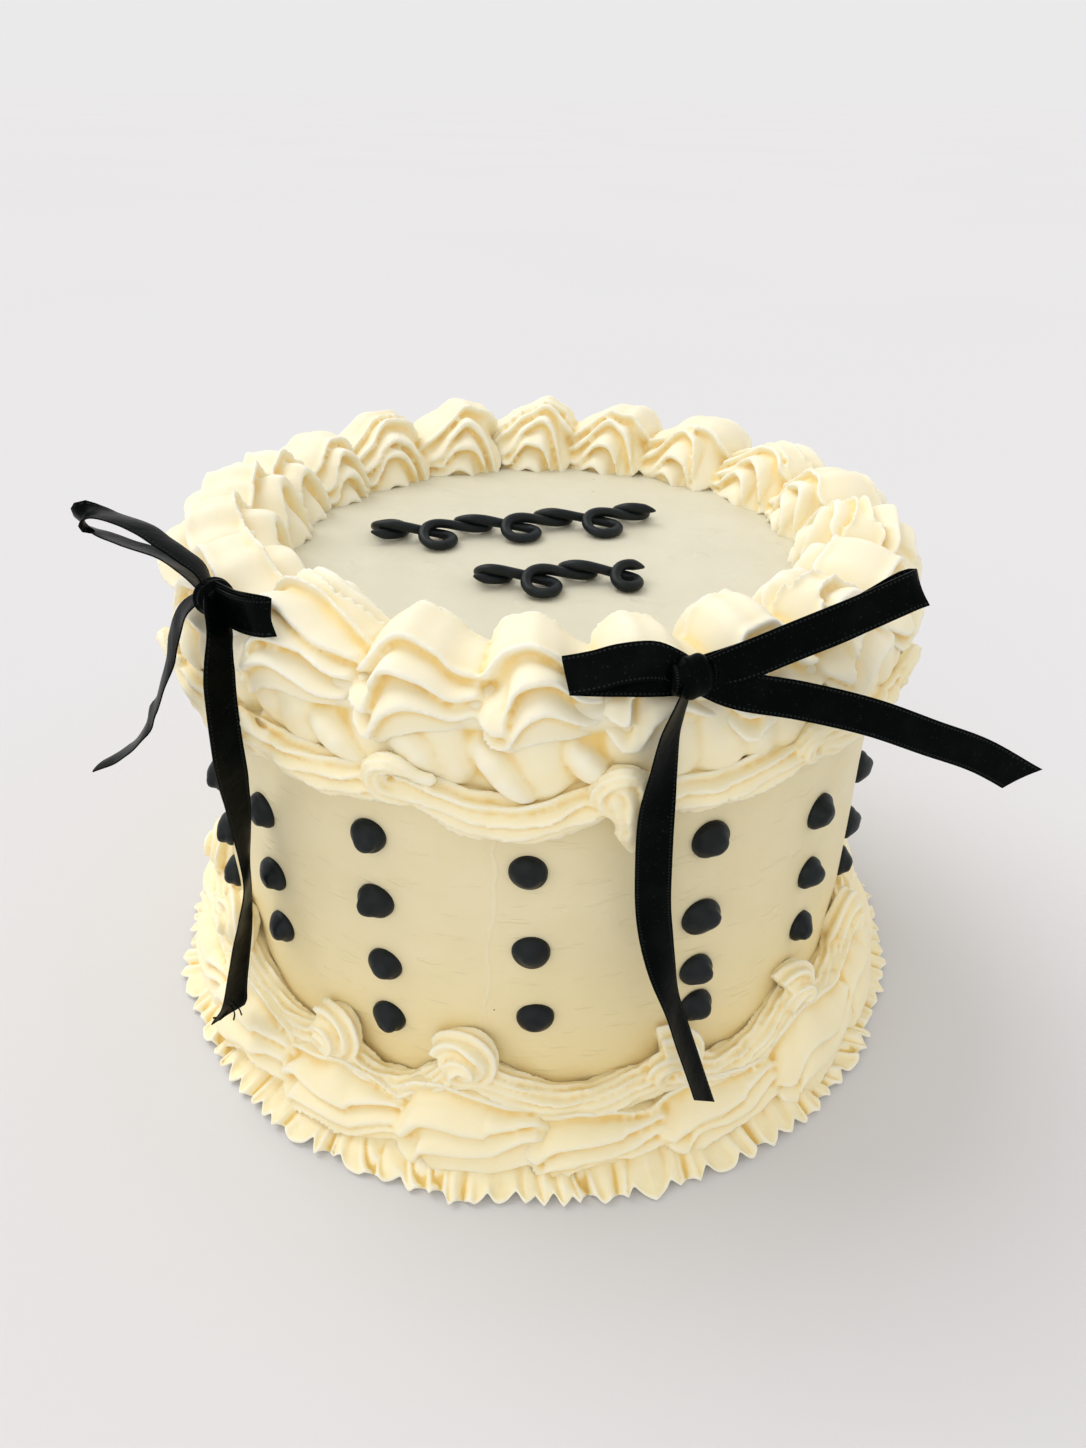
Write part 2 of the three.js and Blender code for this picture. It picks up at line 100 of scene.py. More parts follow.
def evenly(path, count):
    # the same rows again at even distances along their first three numbers
    length = np.concatenate([[0], np.cumsum(np.linalg.norm(np.diff(path[:, :3], axis=0), axis=1))])
    places = np.linspace(0, length[-1], count)
    return np.stack([np.interp(places, length, column) for column in path.T], axis=1)


def unit(rows):
    return rows / np.maximum(np.linalg.norm(rows, axis=-1, keepdims=True), 1e-9)


def squareTo(along, rows):
    # rows turned square to a path's direction
    return unit(rows - np.sum(rows * along, axis=1, keepdims=True) * along)


def tubeFaces(rows, corners, flip=False, tips=True):
    # faces round a tube, row by row, and with tips the fans to two end points listed after its rows
    corner = np.arange(corners)
    after = (corner + 1) % corners
    last, tip = (rows - 1) * corners, rows * corners
    quad = np.stack([corner, after, after + corners, corner + corners], axis=1)
    faces = [face for low in range(0, last, corners) for face in (quad + low).tolist()]
    if tips:
        pairs = list(zip(corner.tolist(), after.tolist()))
        faces += [[tip, following, own] for own, following in pairs]
        faces += [[tip + 1, last + own, last + following] for own, following in pairs]
    return [[face[0], *face[:0:-1]] for face in faces] if flip else faces


def sweep(path, sections, facing=None):
    # a closed form along a path; sections are rows of (outwards or facing, across) places
    along = unit(np.gradient(path, axis=0))
    side = squareTo(along, path * (1, 1, 0) if facing is None else facing)
    across = np.cross(along, side)
    rows = path[:, None] + sections[..., :1] * side[:, None] + sections[..., 1:2] * across[:, None]
    return np.vstack([rows.reshape(-1, 3), path[:1], path[-1:]]), tubeFaces(*rows.shape[:2])


def starSections(widths, depths, look, roll, seed):
    # what a star nozzle leaves: broad hollows between thin lips, and the lips hang downwards
    fins, unease = look["fins"], look["unease"]
    angle = np.linspace(0, circle, look["corners"], endpoint=False)
    if fins:
        angle = angle - 0.5 * np.sin(fins * angle) / fins
    count = len(widths)
    turned = angle[None] + np.broadcast_to(np.radians(roll), (count,))[:, None]
    edge = np.abs(np.cos(fins * angle / 2))[None] ** look["lip"]
    fin = np.round(fins * angle / circle) % max(fins, 1)
    shares = np.linspace(0, 1, count)
    uneasy = np.stack([unease * drift(6 * shares + 3.1 * number, seed) for number in fin], axis=1)
    reach = (1 - look["groove"] * (1 - edge)) * (1 + uneasy * edge)
    leaning = turned + look["droop"] * edge * np.cos(turned) + 0.8 * uneasy * edge
    widths, depths = np.asarray(widths)[:, None], np.asarray(depths)[:, None]
    return np.stack([depths * reach * np.cos(leaning), widths * reach * np.sin(leaning)], axis=-1)


def bare():
    if bpy.context.object and bpy.context.object.mode != "OBJECT":
        bpy.ops.object.mode_set(mode="OBJECT")
    bpy.ops.object.select_all(action="DESELECT")


def pick(piece):
    bare()
    piece.select_set(True)
    bpy.context.view_layer.objects.active = piece
    return piece


def reshape(piece, *moves):
    # edit mode operators on the whole of a piece, each with its settings
    pick(piece)
    bpy.ops.object.mode_set(mode="EDIT")
    bpy.ops.mesh.select_all(action="SELECT")
    for operator, settings in moves:
        operator(**settings)
    bpy.ops.object.mode_set(mode="OBJECT")


def newPiece(name, points, edges, faces):
    # points are millimetres, as in the tables
    mesh = bpy.data.meshes.new(name)
    mesh.from_pydata((points * metre).tolist(), edges, faces)
    piece = bpy.data.objects.new(name, mesh)
    bpy.context.collection.objects.link(piece)
    return pick(piece)


def makePiece(name, forms):
    # one mesh of several forms, each (points, faces)
    points, faces, start = [], [], 0
    for formPoints, formFaces in forms:
        points.append(formPoints)
        faces.extend([start + corner for corner in face] for face in formFaces)
        start += len(formPoints)
    piece = newPiece(name, np.vstack(points), [], faces)
    piece.data.validate()
    bpy.ops.object.shade_smooth()
    return piece


def addModifier(piece, kind, settings):
    pick(piece)
    bpy.ops.object.modifier_add(type=kind)
    modifier = piece.modifiers[-1]
    for setting, value in settings.items():
        setattr(modifier, setting, value)
    bpy.ops.object.modifier_apply(modifier=modifier.name)


def meld(name, forms, look):
    # forms that run into each other become one skin, as wet icing does
    piece = makePiece(name, forms)
    addModifier(piece, "REMESH", {"mode": "VOXEL", "voxel_size": look["voxel"] * metre})
    addModifier(piece, "SMOOTH", {"factor": 0.5, "iterations": look["melt"]})
    bpy.ops.object.shade_smooth()
    return piece


def ripple(piece, name, size, height):
    texture = bpy.data.textures.new(name, "CLOUDS")
    texture.noise_scale = size * metre
    texture.noise_depth = 2
    addModifier(piece, "DISPLACE", {
        "texture": texture, "strength": height * metre, "mid_level": 0.5, "texture_coords": "LOCAL",
    })


def meshPoints(piece):
    places = np.empty(len(piece.data.vertices) * 3)
    piece.data.vertices.foreach_get("co", places)
    return places.reshape(-1, 3)


def setPoints(piece, places):
    piece.data.vertices.foreach_set("co", places.ravel())
    piece.data.update()


def markHollows(piece, rounds, reach):
    # how deep each point lies in a hollow: 0 on a lip, 0.5 on a smooth face, 1 in a groove; it is told
    # by how far the point moves towards its neighbours' middle, in so many rounds
    mesh = piece.data
    places = meshPoints(piece)
    edges = np.empty(len(mesh.edges) * 2, int)
    mesh.edges.foreach_get("vertices", edges)
    first, second = edges.reshape(-1, 2).T
    count = len(places)
    links = np.bincount(first, minlength=count) + np.bincount(second, minlength=count)
    smooth = places.copy()
    for _ in range(rounds):
        total = np.stack([np.bincount(first, smooth[second, axis], count)
                          + np.bincount(second, smooth[first, axis], count) for axis in range(3)], axis=1)
        smooth = 0.5 * smooth + 0.5 * total / np.maximum(links, 1)[:, None]
    normals = np.empty(count * 3)
    mesh.vertices.foreach_get("normal", normals)
    depth = np.sum((smooth - places) * normals.reshape(-1, 3), axis=1) / (reach * metre)
    hollow = mesh.attributes.new("hollow", "FLOAT", "POINT")
    hollow.data.foreach_set("value", np.clip(0.5 + 0.5 * depth, 0, 1))


def finishPiece(piece, finish, slot, *nodes):
    piece.data.materials.clear()
    piece.data.materials.append(finish)
    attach(piece, "root")
    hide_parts(*nodes)
    triangles = sum(len(face.vertices) - 2 for face in piece.data.polygons)
    print(f"{piece.name}: {triangles} triangles")


def finishPiped(piece, look, node):
    markHollows(piece, *look["hollow"])
    finishPiece(piece, pipedFinish, "piped_icing", node)


class Flow:
    # one value in a material, so that shader sums read as Python
    def __init__(self, recipe, socket):
        self.recipe = recipe
        self.socket = socket

    def reckon(self, operation, first, second=None):
        values = [first] if second is None else [first, second]
        return self.recipe.node("ShaderNodeMath", {"operation": operation}, values)

    def __add__(self, other):
        return self.reckon("ADD", self, other)

    def __radd__(self, other):
        return self.reckon("ADD", other, self)

    def __sub__(self, other):
        return self.reckon("SUBTRACT", self, other)

    def __rsub__(self, other):
        return self.reckon("SUBTRACT", other, self)

    def __mul__(self, other):
        return self.reckon("MULTIPLY", self, other)

    def __rmul__(self, other):
        return self.reckon("MULTIPLY", other, self)

    def __truediv__(self, other):
        return self.reckon("DIVIDE", self, other)

    def __gt__(self, other):
        return self.reckon("GREATER_THAN", self, other)

    def __lt__(self, other):
        return self.reckon("LESS_THAN", self, other)

    def part(self):
        return self.reckon("FRACT", self)

    def size(self):
        return self.reckon("ABSOLUTE", self)

    def between(self, low, high):
        # 0 up to low, 1 from high on, and a soft step from one to the other
        settings = {"interpolation_type": "SMOOTHSTEP"}
        return self.recipe.node("ShaderNodeMapRange", settings, [self, low, high, 0.0, 1.0])


class Recipe:
    # a material built from its nodes
    def __init__(self, name):
        self.finish = bpy.data.materials.new(name)
        self.finish.use_nodes = True
        self.tree = self.finish.node_tree
        self.tree.nodes.clear()

    def node(self, kind, settings=None, values=(), output=0):
        made = self.tree.nodes.new(kind)
        for setting, value in (settings or {}).items():
            setattr(made, setting, value)
        items = values.items() if isinstance(values, dict) else enumerate(values)
        for key, value in items:
            if isinstance(value, Flow):
                self.tree.links.new(value.socket, made.inputs[key])
            elif value is not None:
                made.inputs[key].default_value = value
        return Flow(self, made.outputs[output])

    def place(self):
        return self.node("ShaderNodeTexCoord", output="Object")

    def along(self, vector, axis):
        return self.node("ShaderNodeSeparateXYZ", None, [vector], output=axis)

    def noise(self, vector, size, detail=2.0, rough=0.5):
        values = {"Vector": vector, "Scale": 1000.0 / size, "Detail": detail, "Roughness": rough}
        return self.node("ShaderNodeTexNoise", None, values)

    def stretched(self, vector, sizes):
        return self.node("ShaderNodeVectorMath", {"operation": "MULTIPLY"}, [vector, sizes])

    def mark(self, name):
        return self.node("ShaderNodeAttribute", {"attribute_name": name}, output="Fac")

    def blend(self, factor, first, second):
        settings = {"data_type": "RGBA"}
        first, second = ((*value, 1) if isinstance(value, tuple) else value for value in (first, second))
        return self.node("ShaderNodeMix", settings, {0: factor, 6: first, 7: second}, output=2)

    def bump(self, height, distance, strength=1.0, normal=None):
        values = {"Strength": strength, "Distance": distance * metre, "Height": height, "Normal": normal}
        return self.node("ShaderNodeBump", None, values)

    def serve(self, values):
        skin = self.node("ShaderNodeBsdfPrincipled", None, values)
        made = self.tree.nodes.new("ShaderNodeOutputMaterial")
        self.tree.links.new(skin.socket, made.inputs["Surface"])
        return self.finish


def paint(red, green, blue):
    # a colour as seen on screen, in the renderer's own measure
    return tuple((value / 255 / 12.92) if value <= 10 else ((value / 255 + 0.055) / 1.055) ** 2.4
                 for value in (red, green, blue))


# each tone is a pair, with light painted in: low on the side, where icing looks warmer in its light, and up
# where light falls on it
# lip is a painted highlight tone for the tips of the lips, groove a painted shade tone for the hollows
icing = {
    "lip": (paint(250, 243, 218), paint(248, 243, 224)),
    "face": (paint(250, 237, 197), paint(245, 236, 206)),
    "groove": (paint(240, 208, 126), paint(245, 218, 144)),
    "foot": paint(246, 226, 168), "speck": paint(88, 76, 58), "roughness": 0.46, "glow": 0.18,
}
# dark and light mottling, with light painted in: warmer tones on the side, darker and greyer ones on the
# top, for how light falls on each
smoothTones = {
    "side": (paint(235, 223, 183), paint(230, 217, 174)),
    "top": (paint(219, 214, 192), paint(213, 208, 184)),
}
darkTones = {
    "icing": (paint(13, 18, 19), paint(24, 30, 31)), "satin": (paint(2, 5, 4), paint(9, 13, 12)),
    "lint": paint(60, 64, 63), "stitch": paint(36, 40, 39),
}


def coatColour(mix, place, mottle, lip):
    # the smooth coat: colour and relief, with a faint seam down the front, knife strokes and small dents
    east, north, height = (mix.along(place, axis) for axis in range(3))
    colour = mix.blend(mottle.between(0.3, 0.7), *smoothTones["side"])
    warm = 1 - height.between(0.012, 0.075)
    colour = mix.blend(warm * 0.75, colour, icing["foot"])
    # the top takes its own darker, greyer tones, painted light
    onTop = height.between(0.1105, 0.1117)
    colour = mix.blend(onTop, colour, mix.blend(mottle.between(0.25, 0.75), *smoothTones["top"]))
    aside = (east + 0.0125 - height * 0.05 + (mix.noise(place, 12, 2) - 0.5) * 0.006).size()
    seam = (1 - aside.between(0.0001, 0.0006)) * (1 - onTop) * (north < 0.0) * height.between(0.03, 0.04)
    stroke = mix.noise(mix.stretched(place, (0.35, 0.35, 1.6)), 3.2, 2).between(0.60, 0.70)
    cells = {"Vector": mix.stretched(place, (1, 1, 1.7)), "Scale": 70.0}
    dents = mix.node("ShaderNodeTexVoronoi", None, cells)
    dent = (1 - dents.between(0.05, 0.16)) * mix.noise(place, 22, 1).between(0.5, 0.56)
    return mix.blend(seam * 0.16, colour, lip), seam * 0.5 + stroke * 0.6 - dent * 0.9


def icingFinish(name, grain, smooth=False):
    mix = Recipe(name)
    place = mix.place()
    mottle = mix.noise(place, 9, 3) * 0.5 + mix.noise(place, 31, 2) * 0.5
    relief = mix.noise(place, 0.9, 3, 0.6) * 0.25 + mix.noise(place, 5.5, 3)
    # painted light: the paler tones up where light falls, the warmer ones lower on the side
    above = mix.along(place, 2).between(0.100, 0.120)
    lip, face, groove = (mix.blend(above, *icing[part]) for part in ("lip", "face", "groove"))
    if smooth:
        colour, marks = coatColour(mix, place, mottle, lip)
        relief = relief + marks
    else:
        # painted highlight on the lips and painted shade, deeper yellow, in the grooves, by how deep each
        # point lies in a hollow
        depth = mix.mark("hollow") + (mottle - 0.5) * 0.25
        colour = mix.blend(depth.between(0.2, 0.48), lip, face)
        colour = mix.blend(depth.between(0.47, 0.80), colour, groove)
    cells = {"Vector": place, "Scale": 130.0}
    dust = mix.node("ShaderNodeTexVoronoi", None, cells)
    tint = mix.node("ShaderNodeTexVoronoi", None, cells, output="Color")
    chance = mix.noise(place, 13, 1).between(0.42, 0.5)
    speck = (1 - dust.between(0.02, 0.036)) * chance * (mix.along(tint, 0) > 0.76)
    colour = mix.blend(speck * 0.8, colour, icing["speck"])
    return mix.serve({
        "Base Color": colour, "Roughness": 0.1 * mottle + (icing["roughness"] - 0.05),
        "Normal": mix.bump(relief, grain), "IOR": 1.45,
        "Specular IOR Level": 0.35, "Subsurface Weight": icing["glow"],
        "Subsurface Radius": (1.0, 0.72, 0.4), "Subsurface Scale": 0.004,
    })


pipedFinish = icingFinish("pipedIcing", 0.12)
coatFinish = icingFinish("smoothIcing", 0.2, smooth=True)


def darkIcingFinish():
    mix = Recipe("darkIcing")
    place = mix.place()
    mottle = mix.noise(place, 4, 3)
    colour = mix.blend(mottle.between(0.3, 0.75), *darkTones["icing"])
    rough = 0.34 + 0.18 * mix.noise(place, 2.2, 2)
    return mix.serve({
        "Base Color": colour, "Roughness": rough, "Normal": mix.bump(mix.noise(place, 1.4, 3), 0.12),
        "IOR": 1.45, "Specular IOR Level": 0.25,
    })


def satinFinish():
    # across runs 0 to 1 over the ribbon's width, and along is in millimetres
    mix = Recipe("blackSatin")
    sheet = mix.node("ShaderNodeUVMap", {"uv_map": "weave"})
    across, along = mix.along(sheet, 0), mix.along(sheet, 1)
    edge = (across - 0.5).size()
    onRow = 1 - (edge - 0.42).size().between(0.012, 0.03)
    stitch = onRow * (1 - ((along / 0.8).part() - 0.5).size().between(0.18, 0.32))
    place = mix.place()
    # sheen patches: a lighter satin tone painted in as a painted sheen, and rougher there
    sheen = mix.noise(place, 7, 3).between(0.45, 0.75)
    lint = mix.noise(place, 0.5, 2).between(0.66, 0.74)
    cloth = mix.blend(sheen * 0.8, *darkTones["satin"])
    cloth = mix.blend(lint * 0.3, cloth, darkTones["lint"])
    cloth = mix.blend(stitch * 0.8, cloth, darkTones["stitch"])
    selvedge = edge.between(0.44, 0.46)
    grain = mix.noise(place, 0.6, 2)
    creases = mix.bump(mix.noise(place, 6, 2), 0.5, 0.6)
    ribs = mix.bump(grain * 0.5 + stitch + selvedge * 0.6, 0.06, 1.0, creases)
    return mix.serve({
        "Base Color": cloth, "Roughness": 0.3 + 0.14 * sheen, "Normal": ribs,
        "Specular IOR Level": 0.025, "Anisotropic": 0.3,
    })


darkFinish = darkIcingFinish()
ribbonFinish = satinFinish()
print("finishes ready")

# the camera, where the photograph was taken from
camera = {
    "place": (-1.5, -239.03, 206.28), "lens": 26.0,
    "right": (0.99990, -0.00222, 0.01391), "up": (-0.01075, 0.51819, 0.85520),
    "forward": (0.00910, 0.85526, -0.51811),
}
bpy.ops.object.camera_add()
eye = bpy.context.object
eye.name = "camera"
eye.data.lens = camera["lens"]
eye.data.sensor_width = 36.0
eye.data.clip_start = 0.01
backward = -Vector(camera["forward"])
turned = Matrix((Vector(camera["right"]), Vector(camera["up"]), backward)).transposed().to_4x4()
eye.matrix_world = Matrix.Translation(Vector(camera["place"]) * metre) @ turned
bpy.context.scene.camera = eye

# the iced cake
coat = {
    "sides": 300, "edgeRound": 2.5, "footSteps": 12, "sideSteps": 84, "bendSteps": 6, "topSteps": 62,
    "wave": 0.32, "topWave": 0.12,
}


def makeCoat():
    # half of the cake's outline, from the middle of its underside to the middle of its top, spun round
    edge = coat["edgeRound"]
    foot = [(share * cakeRadius, 0) for share in np.linspace(0, 1, coat["footSteps"])[:-1]]
    wall = [(cakeRadius, height) for height in np.linspace(0, cakeHeight - edge, coat["sideSteps"])]
    bend = [(cakeRadius - edge + edge * math.cos(angle), cakeHeight - edge + edge * math.sin(angle))
            for angle in np.linspace(0, math.pi / 2, coat["bendSteps"])[1:-1]]
    top = [(share * (cakeRadius - edge), cakeHeight) for share in np.linspace(1, 0, coat["topSteps"])]
    outline = np.array([(radius, 0, height) for radius, height in foot + wall + bend + top])
    piece = newPiece("iced_cake", outline, [(n, n + 1) for n in range(len(outline) - 1)], [])
    addModifier(piece, "SCREW", {
        "steps": coat["sides"], "render_steps": coat["sides"], "use_merge_vertices": True,
        "merge_threshold": 1e-5, "use_normal_calculate": True,
    })
    reshape(piece, (bpy.ops.mesh.remove_doubles, {"threshold": 1e-6}),
            (bpy.ops.mesh.normals_make_consistent, {"inside": False}))
    bpy.ops.object.shade_smooth()
    places = meshPoints(piece) / metre
    turns = np.degrees(np.arctan2(places[:, 0], -places[:, 1]))
    radius = np.hypot(places[:, 0], places[:, 1])
    onSide = fillet(78, 81.5, radius) * fillet(0, 2, places[:, 2])
    broad = drift(turns / 11.0, 41) + 0.35 * drift(turns / 4.5 + places[:, 2] / 30, 42)
    swell = coat["wave"] * broad * onSide
    dips = drift(places[:, 0] / 9 + 3, 43) + drift(places[:, 1] / 8 + places[:, 0] / 19, 44)
    onTop = fillet(cakeHeight - 0.4, cakeHeight, places[:, 2]) * (1 - fillet(74, 80, radius))
    places[:, 0] *= 1 + swell / cakeRadius
    places[:, 1] *= 1 + swell / cakeRadius
    places[:, 2] += coat["topWave"] * dips * onTop
    setPoints(piece, places * metre)
    finishPiece(piece, coatFinish, "cake_icing", "cake")


makeCoat()
print("cake ready")

# the large shells round the top edge, by where each begins
shellStarts = [-68, -43, -23, -7, 8, 23, 39, 56, 75, 94, 113, 133, 154, 173, 192, 212, 232, 248, 262, 276]
# each lip of a shell, as (share, degrees from up), runs from the toe up over the head and down the tail
outerLips = [
    [(-0.05, 56), (0.03, 48), (0.1, 37), (0.2, 30), (0.36, 28), (0.55, 31), (0.75, 37), (1.0, 38),
     (1.3, 34)],
    [(-0.05, 78), (0.05, 78), (0.12, 71), (0.2, 59), (0.32, 50), (0.48, 49), (0.64, 53), (0.8, 58),
     (0.95, 56), (1.1, 50), (1.3, 44)],
    [(-0.05, 92), (0.14, 91), (0.22, 84), (0.33, 73), (0.48, 69), (0.64, 72), (0.8, 76), (0.95, 73),
     (1.1, 64), (1.3, 54)],
]
innerLips = [
    [(-0.05, 36), (0.06, 30), (0.2, 22), (0.4, 20), (0.6, 24), (0.8, 32), (1.0, 34), (1.3, 30)],
    [(-0.05, 94), (0.05, 93), (0.1, 80), (0.17, 58), (0.28, 44), (0.44, 38), (0.62, 44), (0.78, 56),
     (0.92, 60), (1.06, 54), (1.3, 46)],
    [(-0.05, 102), (0.14, 101), (0.2, 90), (0.28, 71), (0.4, 60), (0.56, 57), (0.72, 66), (0.86, 77),
     (1.0, 74), (1.3, 62)],
    [(-0.05, 106), (0.26, 104), (0.34, 95), (0.44, 82), (0.58, 77), (0.74, 84), (0.88, 90), (1.04, 86),
     (1.3, 76)],
]
# some shells have one more lip on either side of the crest
crestLip = [(-0.05, 30), (0.06, 16), (0.2, 6), (0.45, 5), (0.7, 11), (1.0, 16), (1.3, 18)]
outerFoot = [(-0.05, 100), (0.1, 102), (0.2, 99), (0.34, 90), (0.5, 87), (0.7, 90), (1.0, 84), (1.3, 70)]
innerFoot = [(-0.05, 96), (0.1, 104), (0.4, 108), (0.8, 102), (1.3, 96)]
# share along the shell, height and width
shellSize = [
    (-0.05, 0.3, 0.2), (-0.02, 0.60, 0.52), (0.03, 0.80, 0.77), (0.11, 0.94, 0.93), (0.24, 1.02, 1.0),
    (0.40, 1.02, 1.02), (0.56, 0.93, 0.97), (0.74, 0.78, 0.88), (0.9, 0.66, 0.80), (1.05, 0.58, 0.74),
    (1.3, 0.36, 0.56),
]
# across one hollow, from the tip of a lip to the next lip: share of the gap, overhang, relief
hollowShape = np.array([
    (0.0, 0.9, 1.0), (0.02, 1.2, 0.72), (0.03, 1.25, 0.3), (0.04, 0.9, -0.1), (0.06, 0.5, -0.5),
    (0.12, 0.15, -0.85), (0.24, 0.0, -1.0), (0.38, 0.0, -0.86), (0.54, 0.0, -0.46), (0.70, 0.05, 0.08),
    (0.84, 0.3, 0.58), (0.94, 0.65, 0.9),
])
# degrees between two lips from which a lip, and the hollow beside it, are full grown
fullLip, fullHollow = 13, 15
# relief and overhang are those of a lip, reach is how far a tail lies under the next shell, and sink how
# far a shell goes below its base
topShell = {
    "ring": 72.4, "ringFront": 1.2, "ringRight": 1.0, "base": 110.6, "backRise": 1.8, "high": 16.6,
    "inward": 12.4, "outward": 14.0, "relief": 1.75, "overhang": 4.0, "reach": 2.8, "sink": 4.5,
    "stations": 96, "tailRound": 0.15, "toe": 4.0, "wander": 4.5, "voxel": 0.56, "melt": 2,
    "hollow": (22, 1.0), "sizes": shellSize, "sides": (innerLips, outerLips),
    "crested": (1, 6, 8, 10, 13, 15), "broad": (0, 17, 18, 19),
}


def lipLines(lips, foot, share, wander, seed):
    # where each lip lies at each share, in degrees from up, kept in their order
    lines = []
    for number, knots in enumerate(lips + [foot]):
        rows = through(knots, 160)
        shift = 0.05 * uneven(number, seed + 2)
        line = np.interp(share + shift, rows[:, 0], rows[:, 1])
        lines.append(line + wander * drift(share * 1.7, seed + 5 * number) + 2.0 * uneven(number, seed))
    for number in range(len(lines) - 2, -1, -1):
        lines[number] = np.minimum(lines[number], lines[number + 1] - 0.5)
    return lines


def lipSide(lines, look, seed, size):
    # angles and reliefs from the crest down one side, past every lip, to the foot
    angles, reliefs = [], []
    for number in range(len(lines) - 1):
        gap = lines[number + 1] - lines[number]
        before = lines[number] - lines[number - 1] if number else 20.0
        strong = look["relief"] * (1 + 0.2 * uneven(number, seed + 8)) * size
        ridge = strong * np.clip(np.minimum(gap, before) / fullLip, 0, 1) * (1 if number else 0.75)
        bed = strong * np.clip(gap / fullHollow, 0, 1)
        far = strong * np.clip(np.minimum(gap, fullHollow) / fullLip, 0, 1)
        # below the last lip the side runs plain to the foot
        lowest = number == len(lines) - 2
        for share, hang, relief in hollowShape:
            tip = ridge if share < 0.2 else far
            if lowest and share > 0.1:
                hang, relief = 0.0, -0.3
            amount = relief * (bed if relief < 0 else tip)
            lean = look["overhang"] * hang * tip / look["relief"]
            angles.append(lines[number] + gap * share + lean)
            reliefs.append(amount)
    angles.append(lines[-1])
    reliefs.append(-0.5 * size)
    return np.array(angles), np.array(reliefs)


def lippedShell(turn, pitch, index, look, seed):
    # one shell from its toe at the turn to its tail under the next one, as a tube of many sections
    front, right = math.cos(math.radians(turn)), math.sin(math.radians(turn))
    swell = 1 + 0.06 * uneven(index, seed)
    ring = look["ring"] + look["ringFront"] * front + look["ringRight"] * right
    ring += 0.8 * uneven(index, seed + 3)
    length = math.radians(pitch) * ring
    # sections from just before the toe, where they lie closest together, to the end of the tail
    station = np.linspace(0, 1, look["stations"])
    share = -0.05 + station ** 1.15 * (1.05 + look["reach"] / length)
    tail = 0.1 + 0.9 * np.sqrt(np.clip((1 - station) / look["tailRound"], 0, 1))
    rows = through(look["sizes"], 200)
    high = np.interp(share, rows[:, 0], rows[:, 1]) * (1 + 0.04 * drift(share * 5, seed + index)) * tail
    wide = np.interp(share, rows[:, 0], rows[:, 2]) * tail
    base = look["base"] - look["backRise"] * front * 0.5
    inner, outer = look["sides"]
    if index in look["crested"]:
        inner, outer = [crestLip] + inner, [crestLip] + outer
    if index in look["broad"]:
        inner = [crestLip, inner[1], inner[3]]
        look = {**look, "relief": 1.2 * look["relief"], "overhang": 1.3 * look["overhang"]}
    number = 20 * index + seed
    innerLines = lipLines(inner, innerFoot, share, look["wander"], number)
    outerLines = lipLines(outer, outerFoot, share, look["wander"], number + 9)
    innerAngles, innerReliefs = lipSide(innerLines, look, number, high ** 0.3 * tail)
    outerAngles, outerReliefs = lipSide(outerLines, look, number + 9, high ** 0.3 * tail)
    # a rounded crest joins the inner side to the outer one
    crest = np.linspace(-0.8, 0.8, 7)[:, None]
    plate = np.where(crest < 0, -crest * -innerAngles[0], crest * outerAngles[0])
    angles = np.radians(np.vstack([-innerAngles[::-1], plate, outerAngles]))
    plateRelief = 0.35 * np.where(crest < 0, innerReliefs[0], outerReliefs[0]) * crest ** 2
    reliefs = np.vstack([innerReliefs[::-1], plateRelief, outerReliefs])
    reach = np.where(angles < 0, look["inward"], look["outward"])
    flat = (reach * swell * wide + reliefs) * np.sin(angles)
    tall = (look["high"] * swell * high + reliefs) * np.cos(angles)
    # one more point, under the middle, closes each section
    cut = np.vstack([flat, 0 * flat[:1] + 1.0]).T
    rise = np.vstack([tall, 0 * tall[:1] - 3.0]).T
    # the toe begins above the base, and its lips bulge back over the shell before
    middle = look["toe"] * np.clip((0.12 - share) / 0.17, 0, 1)[:, None]
    rise = np.maximum(rise, -look["sink"]) + middle * (1 - rise / (look["high"] * swell))
    along = share * length
    early = np.exp(-(np.maximum(share, 0) / 0.16) ** 2)[:, None]
    bulge = -1.6 * early * np.vstack([reliefs, reliefs[:1] * 0]).T
    turns = turn + np.degrees((along[:, None] + bulge / look["relief"]) / ring)
    points = around(turns, ring + cut, base + rise)
    ends = points.mean(axis=1)[[0, -1]]
    return np.vstack([points.reshape(-1, 3), ends]), tubeFaces(*cut.shape, flip=True)


def makeTopBorder():
    forms = [lippedShell(turn, end - turn, index, topShell, 1) for index, turn, end in spans(shellStarts)]
    # in thirds, so that no piece is too heavy
    for number, group in enumerate((forms[:7], forms[7:14], forms[14:])):
        finishPiped(meld(f"top_shells_{number + 1}", group, topShell), topShell, "top_border")


makeTopBorder()
print("top border ready")

# the rim on which the fingers end, the two garlands by where their swags join, and the fingers
upperJoints = [-40, -17, 10, 38, 64, 89, 115, 141, 167, 192, 218, 243, 269, 294]
lowerJoints = [-57, -32, -10, 20, 44, 67, 95, 122, 148, 174, 200, 226, 251, 277]
lowerHeights = [32, 23, 28, 24, 27, 25, 28, 24, 29, 26, 31, 25, 28, 27]
rim = {"inner": 83.0, "outer": 90.0, "start": 111.6, "height": 117.0, "front": -2.4}
upperRope = {
    "ring": 84.4, "halfHeight": 4.9, "halfDepth": 4.1, "jointHeight": 99.0, "sag": 2.8, "frontSag": 6.2,
    "fins": 10, "groove": 0.32, "lip": 2.6, "droop": 0.38, "unease": 0.12, "steps": 110, "corners": 90,
    "voxel": 0.52, "melt": 1, "hollow": (16, 0.8),
}
lowerRope = {
    "ring": 85.0, "halfHeight": 4.7, "halfDepth": 4.1, "below": 3.0, "sag": 7.5,
    "fins": 14, "groove": 0.26, "lip": 2.0, "droop": 0.28, "unease": 0.12, "steps": 90, "corners": 112,
    "voxel": 0.52, "melt": 1, "hollow": (16, 0.8),
}


